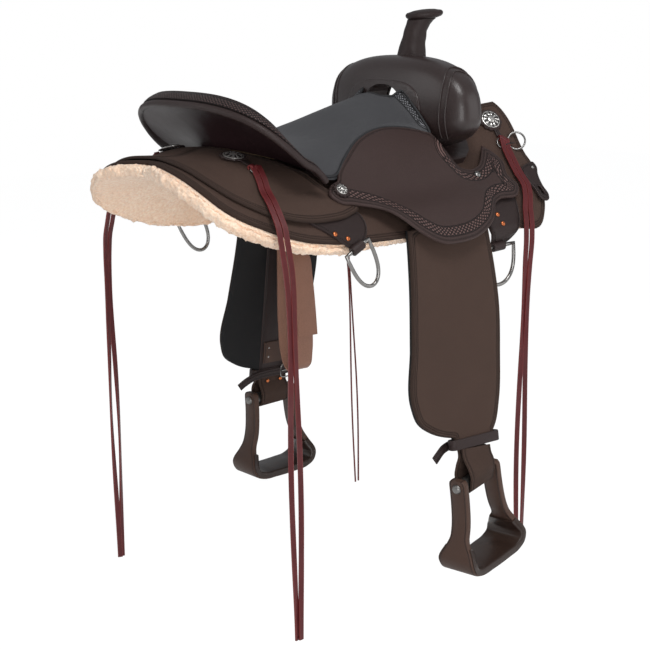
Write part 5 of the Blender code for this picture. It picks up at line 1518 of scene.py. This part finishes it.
class SADDLE_OT_stirrups(SaddlePiece, bpy.types.Operator):
    """Leather covered bell stirrups with bolts, rollers and treads"""
    bl_idname = "saddle.stirrups"
    bl_label = "Stirrups"

    def execute(self, context):
        half = [(STIRRUP_NECK, 0.014), (STIRRUP_NECK, 0.0), (STIRRUP_NECK + 0.001, -0.030),
                (STIRRUP_NECK + 0.006, -0.068), (STIRRUP_HALF_WIDTH - 0.008, -0.104),
                (STIRRUP_HALF_WIDTH - 0.001, -0.124), (STIRRUP_HALF_WIDTH - 0.006, -0.138),
                (STIRRUP_HALF_WIDTH - 0.022, -STIRRUP_HEIGHT + 0.002), (0.022, -STIRRUP_HEIGHT)]
        line = through(half + [(-y, z) for y, z in reversed(half)], 0.004)
        for label, side in SIDES.items():
            body = f"stirrup_body_{label}"
            bolt = bolt_frame(label, side)
            self.bow(label, body, bolt, line)
            self.bolt(label, body, bolt)
            self.tread(label, body, bolt, line)
        return {"FINISHED"}

    def bow(self, label, body, bolt, line):
        rings, widths, runs = [], [], [0.0]
        wall = STIRRUP_WALL / 2
        for i in range(len(line)):
            p, inward, wide = bow_station(line, i)
            rings.append([bolt @ Vector((a * wide / 2, *(p + inward * (wall * b)))) for a, b in BOW_SHAPE])
            widths.append(wide)
            if i:
                runs.append(runs[-1] + float(np.linalg.norm(line[i] - line[i - 1])))
        edge = {"rim": lambda i, k: (1 - abs(BOW_SHAPE[k][0])) * widths[i] / 2, "run": lambda i, k: runs[i]}
        bow = skin(f"stirrup_bow_{label}", rings, "stirrup", angle=60, measures=edge)
        dress(bow, body, "stirrup_leather", f"stirrup_{label}")

    def bolt(self, label, body, bolt):
        outside = STIRRUP_NECK + STIRRUP_WALL / 2 + GAP
        inside = STIRRUP_NECK - STIRRUP_WALL / 2 - GAP
        head = [(0.0005, 0.0056), (0.0035, 0.0054), (0.0062, 0.0040), (0.0080, 0.0010), (0.0082, 0.0)]
        half = [(radius, -outside - up) for radius, up in head]
        half += [(BOLT_RADIUS, -outside), (BOLT_RADIUS, -inside), (ROLLER_RADIUS - 0.001, -inside),
                 (ROLLER_RADIUS, -inside + 0.001)]
        profile = half + [(radius, -height) for radius, height in reversed(half)]
        along = bolt @ Matrix.Rotation(-math.pi / 2, 4, "X")
        made = turned(f"bolt_{label}", profile, along, "dull_steel", 32)
        dress(made, body, "steel", f"stirrup_bolt_{label}")

    def tread(self, label, body, bolt, line):
        """Smooth cover that wraps the bow's inner face and edges and reaches up both branches."""
        rings = []
        wall = STIRRUP_WALL / 2
        for i in range(len(line)):
            p, inward, wide = bow_station(line, i)
            if -p[1] < 0.100:
                continue
            half = wide / 2 + 0.0020
            shape = [(-half, -0.4 * wall), (-half, 0.7 * wall), (0.0010 - half, wall + 0.0024),
                     (0.0040 - half, wall + 0.0036), (0, wall + 0.0042)]
            shape += [(-x, rise) for x, rise in reversed(shape[:-1])]
            rings.append([bolt @ Vector((x, *(p + inward * rise))) for x, rise in shape])
        pad = skin(f"tread_pad_{label}", rings, "sole", angle=60)
        dress(pad, body, "dark_leather", f"stirrup_tread_{label}")


def dee_points(width, depth, count=40):
    """Flat D in the plane of X (the bar) and -Z, bar centred on the origin."""
    points = [Vector((-width / 2 + width * k / 6, 0, 0)) for k in range(7)]
    for k in range(1, count):
        a = math.pi * k / count
        points.append(Vector((width / 2 * math.cos(a), 0, -depth * math.sin(a) ** 0.6)))
    return points


def hang_frame(centre, bar):
    """Frame for what hangs from a bar: X along it, Z up as far as the bar allows."""
    along = bar.normalized()
    up = (Vector((0, 0, 1)) - along * along.z).normalized()
    return Matrix.Translation(centre) @ Matrix((along, up.cross(along), up)).transposed().to_4x4()


def joint_frame(name):
    """Frame of a joint's axis at its place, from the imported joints."""
    for joint in frame["record"]["behaviour"]["joints"]:
        if joint["name"] == name:
            return hang_frame(Vector(joint["pos_m"]), Vector(joint["axis"]))
    raise KeyError(name)


class SADDLE_OT_rigging(SaddlePiece, bpy.types.Operator):
    """Rig plates with rivets, rear dees and front rings"""
    bl_idname = "saddle.rigging"
    bl_label = "Rigging"

    def execute(self, context):
        for label, side in SIDES.items():
            for place, edge, rule, spots in (
                    ("rear", REAR_PLATE_EDGE, REAR_PLATE_LAY, [(0.228, -0.150), (0.236, -0.128)]),
                    ("front", FRONT_PLATE_EDGE, FRONT_PLATE_LAY, [(0.232, 0.205), (0.248, 0.209)])):
                outline = mirrored(through(edge, 0.005, closed=True), side)
                plate = panel(f"{place}_plate_{label}", outline, rule, "dark", 0.007, 0.0014)
                dress(plate, "saddle", "dark_leather", f"{place}_rig_plate_{label}")
                heads = [frame_on(rule, s * side, y, 0.0) for s, y in spots]
                rivets(f"{place}_rivets_{label}", heads, 0.0042, "copper", "saddle")
            hung = joint_frame(f"rear_dee_swing_{label}")
            points = [hung @ p for p in dee_points(DEE_WIDTH, DEE_DEPTH)]
            dee = tube(f"dee_{label}", points, DEE_WIRE, "steel", True)
            dress(dee, f"rear_dee_body_{label}", "steel", f"rear_dee_{label}")
            hung = joint_frame(f"front_ring_swing_{label}")
            points = [hung @ p for p in dee_points(2 * RING_RADIUS, RING_DEPTH, 48)]
            ring = tube(f"ring_{label}", points, RING_WIRE, "steel", True)
            dress(ring, f"front_ring_body_{label}", "steel", f"front_ring_{label}")
            for place, wire, half in (("rear_dee", DEE_WIRE, 0.012), ("front_ring", RING_WIRE, 0.013)):
                hung = joint_frame(f"{place}_swing_{label}") @ Matrix.Rotation(math.pi / 2, 4, "Y")
                profile = [(wire + 0.001, -half), (0.0068, -half), (0.0078, 0.001 - half),
                           (0.0078, half - 0.001), (0.0068, half), (wire + 0.001, half)]
                sleeve = turned(f"{place}_sleeve_{label}", profile, hung, "dark", 28)
                dress(sleeve, "saddle", "dark_leather")
        return {"FINISHED"}


class SADDLE_OT_conchos(SaddlePiece, bpy.types.Operator):
    """Conchos on leather rosettes"""
    bl_idname = "saddle.conchos"
    bl_label = "Conchos"

    def execute(self, context):
        skirts = laid(lambda s, y: 0.0, lambda s, y: SKIRT_TOP + wither_rise(s, y))
        for label, side in SIDES.items():
            for place, rule, s, y in (("rear", REAR_JOCKEY_LAY, 0.077, -0.243),
                                      ("front", skirts, 0.076, 0.302)):
                on = frame_on(rule, s * side, y, 0.0010)
                self.concho(place, label, on, CONCHO_RADIUS, [f"{place}_concho_{label}"])
            on = frame_on(SIDE_JOCKEY_LAY, 0.1668 * side, -0.106, 0.0008)
            self.concho("jockey", label, on, JOCKEY_CONCHO_RADIUS, [])
        return {"FINISHED"}

    def concho(self, place, label, on, r, nodes):
        """Disc with a raised rim, engraved petals and a dome, on a rosette with a scalloped edge."""
        def rings(rows, scallop, petals):
            made = []
            for radius, height, wave in rows:
                ring = []
                for k in range(count):
                    a = 2 * math.pi * k / count
                    reach = radius + wave * scallop * math.cos(a * 12)
                    lift = height + wave * petals * math.cos(a * 15)
                    ring.append(on @ Vector((reach * math.cos(a), reach * math.sin(a), lift)))
                made.append(ring)
            return made

        def relief(i, k):
            level, swing = engraving[i]
            return level + swing * math.cos(2 * math.pi * k / count * 10)
        count = 60
        leather = ((r + 0.004, 0.0, 1), (r + 0.0045, 0.0010, 1), (r + 0.0035, 0.0024, 1),
                   (r * 0.6, 0.0026, 0))
        rosette = skin(f"{place}_rosette_{label}", rings(leather, 0.0012, 0.0), "dark", angle=50)
        dress(rosette, "saddle", "dark_leather")
        metal = ((r, 0.0025, 0.3), (r, 0.0036, 0.3), (r * 0.93, 0.0042, 0.2), (r * 0.86, 0.0037, 0),
                 (r * 0.80, 0.0044, 1), (r * 0.62, 0.0052, 1), (r * 0.48, 0.0052, 1), (r * 0.42, 0.0046, 0),
                 (r * 0.36, 0.0054, 0), (r * 0.22, 0.0062, 0), (r * 0.02, 0.0065, 0))
        engraving = ((0.9, 0), (0.9, 0), (0.75, 0.5), (0.05, 0), (0.5, 0.5), (0.5, 0.5), (0.45, 0.5),
                     (0.0, 0), (0.9, 0), (0.6, 0.4), (1.0, 0))
        disc = rings(metal, 0.0, 0.0006)
        concho = skin(f"{place}_disc_{label}", disc, "concho", angle=50, measures={"relief": relief})
        dress(concho, "saddle", "steel", *nodes)


class SADDLE_OT_trims(SaddlePiece, bpy.types.Operator):
    """Small hardware: string rings, studs, breast dees, slotted tabs, buckles and posts"""
    bl_idname = "saddle.trims"
    bl_label = "Small hardware"

    def execute(self, context):
        width = context.scene.saddle_sizes.lace_width
        for label, side in SIDES.items():
            self.string_ring("rear", label, side, REAR_JOCKEY_LAY, 0.086, 0.124, -0.2385, width)
            self.string_ring("front", label, side, SKIRT_LAY, 0.086, 0.110, 0.3050, width)
            stud = frame_on(SIDE_JOCKEY_LAY, 0.164 * side, 0.197, 0.0)
            rivets(f"jockey_stud_{label}", [stud], 0.0062, "steel", "saddle")
            self.breast_dee(label, side)
            self.slotted_tab(label, side)
            self.hobble_trim(label, side)
            self.posts(label, side)
        return {"FINISHED"}

    def string_ring(self, place, label, side, rule, first, last, y, width):
        """Split ring that joins the laces to the concho by a short tab."""
        radius = STRING_RING_RADIUS
        on = frame_on(rule, last * side, y, 0.0032)
        round_on = circle_on(on, radius, 32)
        ring = tube(f"{place}_string_ring_{label}", round_on, STRING_RING_WIRE, "steel", True)
        dress(ring, "saddle", "steel")
        path = []
        for k in range(7):
            s = first + (last - radius - 0.001 - first) * k / 6
            path.append(frame_on(rule, s * side, y, 0.0016 + 0.0016 * k / 6).translation)
        tab = strap(f"{place}_tab_{label}", path, lambda t: Vector((0, 1, 0)), 0.011, 0.0022, "dark")
        dress(tab, "saddle", "dark_leather")
        for tail in (0, 1):
            start = Vector(lace_route(place, side, tail)[0])
            normal = on.to_3x3().col[2]
            out = start - on.translation
            out = (out - normal * out.dot(normal)).normalized()
            wire = on.translation + out * radius
            turns = [math.radians(d) for d in range(-75, 256, 22)]
            path = [wire + (out * math.cos(a) * 1.3 + normal * math.sin(a)) * 0.0034 for a in turns]
            across = normal.cross(out)
            loop = strap(f"{place}_loop_{label}_{tail}", path, lambda t: across, width, 0.0022, "lace")
            dress(loop, "saddle", "string_leather")

    def breast_dee(self, label, side):
        on = frame_on(SKIRT_LAY, 0.112 * side, 0.334, 0.0045)
        tilt = on @ Matrix.Rotation(math.radians(28), 4, "X") @ Matrix.Translation((0, 0.004, 0))
        points = circle_on(tilt, BREAST_DEE_RADIUS, 40)
        dee = tube(f"breast_dee_{label}", points, BREAST_DEE_WIRE, "steel", True)
        dress(dee, "saddle", "steel")
        path = [frame_on(SKIRT_LAY, 0.112 * side, y, 0.0018 + lift).translation
                for y, lift in ((0.308, 0), (0.314, 0), (0.319, 0.0012), (0.3235, 0.0022), (0.327, 0.0006))]
        keeper = strap(f"breast_keeper_{label}", path, lambda t: Vector((side, 0, 0)), 0.014, 0.0024, "dark")
        dress(keeper, "saddle", "dark_leather")

    def slotted_tab(self, label, side):
        """Slotted billet that hangs at the skirt's front corner."""
        on = frame_on(SKIRT_LAY, 0.178 * side, 0.3297, 0.0008)
        outline = [(-0.0112, -0.0226), (-0.0231, 0.0071), (-0.0240, 0.0172), (-0.0122, 0.0196),
                   (0.0029, 0.0110), (0.0280, 0.0040), (0.0485, 0.0030), (0.0565, -0.0030),
                   (0.0575, -0.0090), (0.0535, -0.0160), (0.0247, -0.0190), (0.0090, -0.0232)]
        outline = through([(x * side, y) for x, y in outline], 0.004, closed=True)

        def flat(u, v, level):
            return on @ Vector((u, v, 0.0026 + 0.0034 * level))

        def deep(u, v, level):
            return on @ Vector((u, v, -0.02 + 0.05 * level))
        tab = panel(f"billet_{label}", outline, flat, "dark", 0.012, 0.0012)
        slot = [((0.0290 + 0.0130 * end + 0.0032 * math.cos(a)) * side, -0.0075 + 0.0032 * math.sin(a))
                for end, a in [(1, math.radians(d)) for d in range(-90, 91, 30)]
                + [(0, math.radians(d)) for d in range(90, 271, 30)]]
        cut(tab, panel("slot", slot, deep, "dark", 0.02, 0.0002))
        dress(tab, "saddle", "dark_leather")
        head = on @ Matrix.Translation((-0.012 * side, 0.008, 0.006))
        rivets(f"billet_stud_{label}", [head], 0.0032, "steel", "saddle")

    def hobble_trim(self, label, side):
        """Free end and buckle of the hobble strap."""
        run = NECK_RUN[label] - 0.0095
        down = (in_hanger(side, 0, 0, 1) - in_hanger(side, 0, 0, 0)).normalized()
        path = [in_hanger(side, out, HANGER_Y + y, run + drop) for out, y, drop in (
            (-0.0058, 0.012, 0.0), (-0.0060, -0.020, 0.0), (-0.0062, -0.044, 0.002), (-0.0050, -0.058, 0.006),
            (-0.0030, -0.070, 0.013), (-0.0020, -0.080, 0.020))]
        tail = strap(f"hobble_end_{label}", through(path, 0.004), lambda t: down, 0.0145, 0.0024, "dark")
        dress(tail, f"hanger_{label}", "dark_leather")
        corners = [(-0.011, -0.0115), (0.011, -0.0115), (0.011, 0.0115), (-0.011, 0.0115)]
        wire = through(corners, 0.002, closed=True)
        points = [in_hanger(side, -0.0056, HANGER_Y + 0.026 + a, run + b) for a, b in wire]
        buckle = tube(f"hobble_buckle_{label}", points, 0.0014, "steel", True)
        dress(buckle, f"hanger_{label}", "steel")
        tongue = [in_hanger(side, -0.0064, HANGER_Y + 0.026 + a, run) for a in (-0.011, -0.004, 0.004, 0.012)]
        pin = tube(f"hobble_tongue_{label}", tongue, 0.0012, "steel")
        dress(pin, f"hanger_{label}", "steel")

    def posts(self, label, side):
        """Posts of the leather's adjuster and the rivets under it, on the inner face."""
        def spot(out, y, run):
            place = hanger_frame(side) @ Matrix.Translation((out, y, -run))
            return place @ Matrix.Rotation(-math.pi / 2, 4, "Y")
        end = NECK_RUN[label]
        heads = [spot(-0.0010, y, end - up) for y in (-0.017, 0.017) for up in (0.060, 0.042)]
        rivets(f"adjuster_posts_{label}", heads, 0.0040, "steel", f"hanger_{label}")
        path = [in_hanger(side, -0.0022, HANGER_Y, end - up) for up in (0.072, 0.060, 0.042, 0.030)]
        sleeve = strap(f"adjuster_{label}", path, lambda t: Vector((0, 1, 0)), 0.056, 0.0022, "stirrup")
        dress(sleeve, f"hanger_{label}", "stirrup_leather")
        heads = [spot(-0.0036, y, end + 0.007) for y in (-0.015, 0.015)]
        rivets(f"loop_rivets_{label}", heads, 0.0036, "copper", f"hanger_{label}")


class SADDLE_OT_tie_strap(SaddlePiece, bpy.types.Operator):
    """Tie strap folded inside the left fender"""
    bl_idname = "saddle.tie_strap"
    bl_label = "Tie strap"

    def execute(self, context):
        x, y, top = LATIGO_AT
        path = [(0.0, 0.0), (-0.001, -0.060), (-0.003, -0.140), (-0.003, -0.220), (0.003, -0.274),
                (0.013, -0.297), (0.024, -0.304), (0.035, -0.297), (0.042, -0.270), (0.041, -0.200),
                (0.034, -0.130), (0.027, -0.092), (0.030, -0.082), (0.036, -0.088), (0.046, -0.130),
                (0.054, -0.190), (0.058, -0.235)]
        line = through([(x + a, y, top + b) for a, b in path], 0.004)
        made = strap("tie_strap", line, lambda t: Vector((0, 1, 0)), 0.044, 0.0036, "latigo")
        dress(made, "latigo_body", "latigo_leather", "latigo")
        return {"FINISHED"}


class SADDLE_OT_tree(SaddlePiece, bpy.types.Operator):
    """Finishes of the tree and the pieces that stay as they are"""
    bl_idname = "saddle.tree"
    bl_label = "Tree"

    def execute(self, context):
        for node, finish in (("tree_bar_left", "fork"), ("tree_bar_right", "fork"), ("fork_core", "fork"),
                             ("cantle_core", "hide"), ("ground_seat", "dark"), ("horn_post", "dull_steel"),
                             ("upper_strap_left", "dark"), ("upper_strap_right", "dark")):
            obj = frame["nodes"][node]
            obj.data.materials.clear()
            obj.data.materials.append(FINISHES[finish])
        return {"FINISHED"}


class SADDLE_OT_finishes(SaddlePiece, bpy.types.Operator):
    """Materials of all pieces"""
    bl_idname = "saddle.finishes"
    bl_label = "Finishes"

    def execute(self, context):
        make_finishes(context)
        return {"FINISHED"}


PIECES = (SADDLE_OT_finishes, SADDLE_OT_stage, SADDLE_OT_laces, SADDLE_OT_lining, SADDLE_OT_skirts,
          SADDLE_OT_jockeys, SADDLE_OT_fork, SADDLE_OT_seat, SADDLE_OT_cantle, SADDLE_OT_hangers,
          SADDLE_OT_stirrups, SADDLE_OT_rigging, SADDLE_OT_conchos, SADDLE_OT_trims, SADDLE_OT_tie_strap,
          SADDLE_OT_tree)


class SADDLE_PT_panel(bpy.types.Panel):
    """Lists the saddle's pieces, sizes and colours"""
    bl_label = "Trail Saddle"
    bl_idname = "SADDLE_PT_panel"
    bl_space_type = "VIEW_3D"
    bl_region_type = "UI"
    bl_category = "Saddle"

    def draw(self, context):
        layout = self.layout
        for group in (context.scene.saddle_sizes, context.scene.saddle_colours):
            column = layout.column()
            for name in group.__annotations__:
                column.prop(group, name)
        for piece in PIECES:
            layout.operator(piece.bl_idname)


CLASSES = (SaddleSizes, SaddleColours) + PIECES + (SADDLE_PT_panel,)


def register():
    for made in CLASSES:
        bpy.utils.register_class(made)
    bpy.types.Scene.saddle_sizes = bpy.props.PointerProperty(type=SaddleSizes)
    bpy.types.Scene.saddle_colours = bpy.props.PointerProperty(type=SaddleColours)


def unregister():
    del bpy.types.Scene.saddle_colours
    del bpy.types.Scene.saddle_sizes
    for made in reversed(CLASSES):
        bpy.utils.unregister_class(made)


def main():
    register()
    for piece in PIECES:
        group, name = piece.bl_idname.split(".")
        getattr(getattr(bpy.ops, group), name)()
    bpy.context.view_layer.update()


if __name__ == "__main__":
    main()
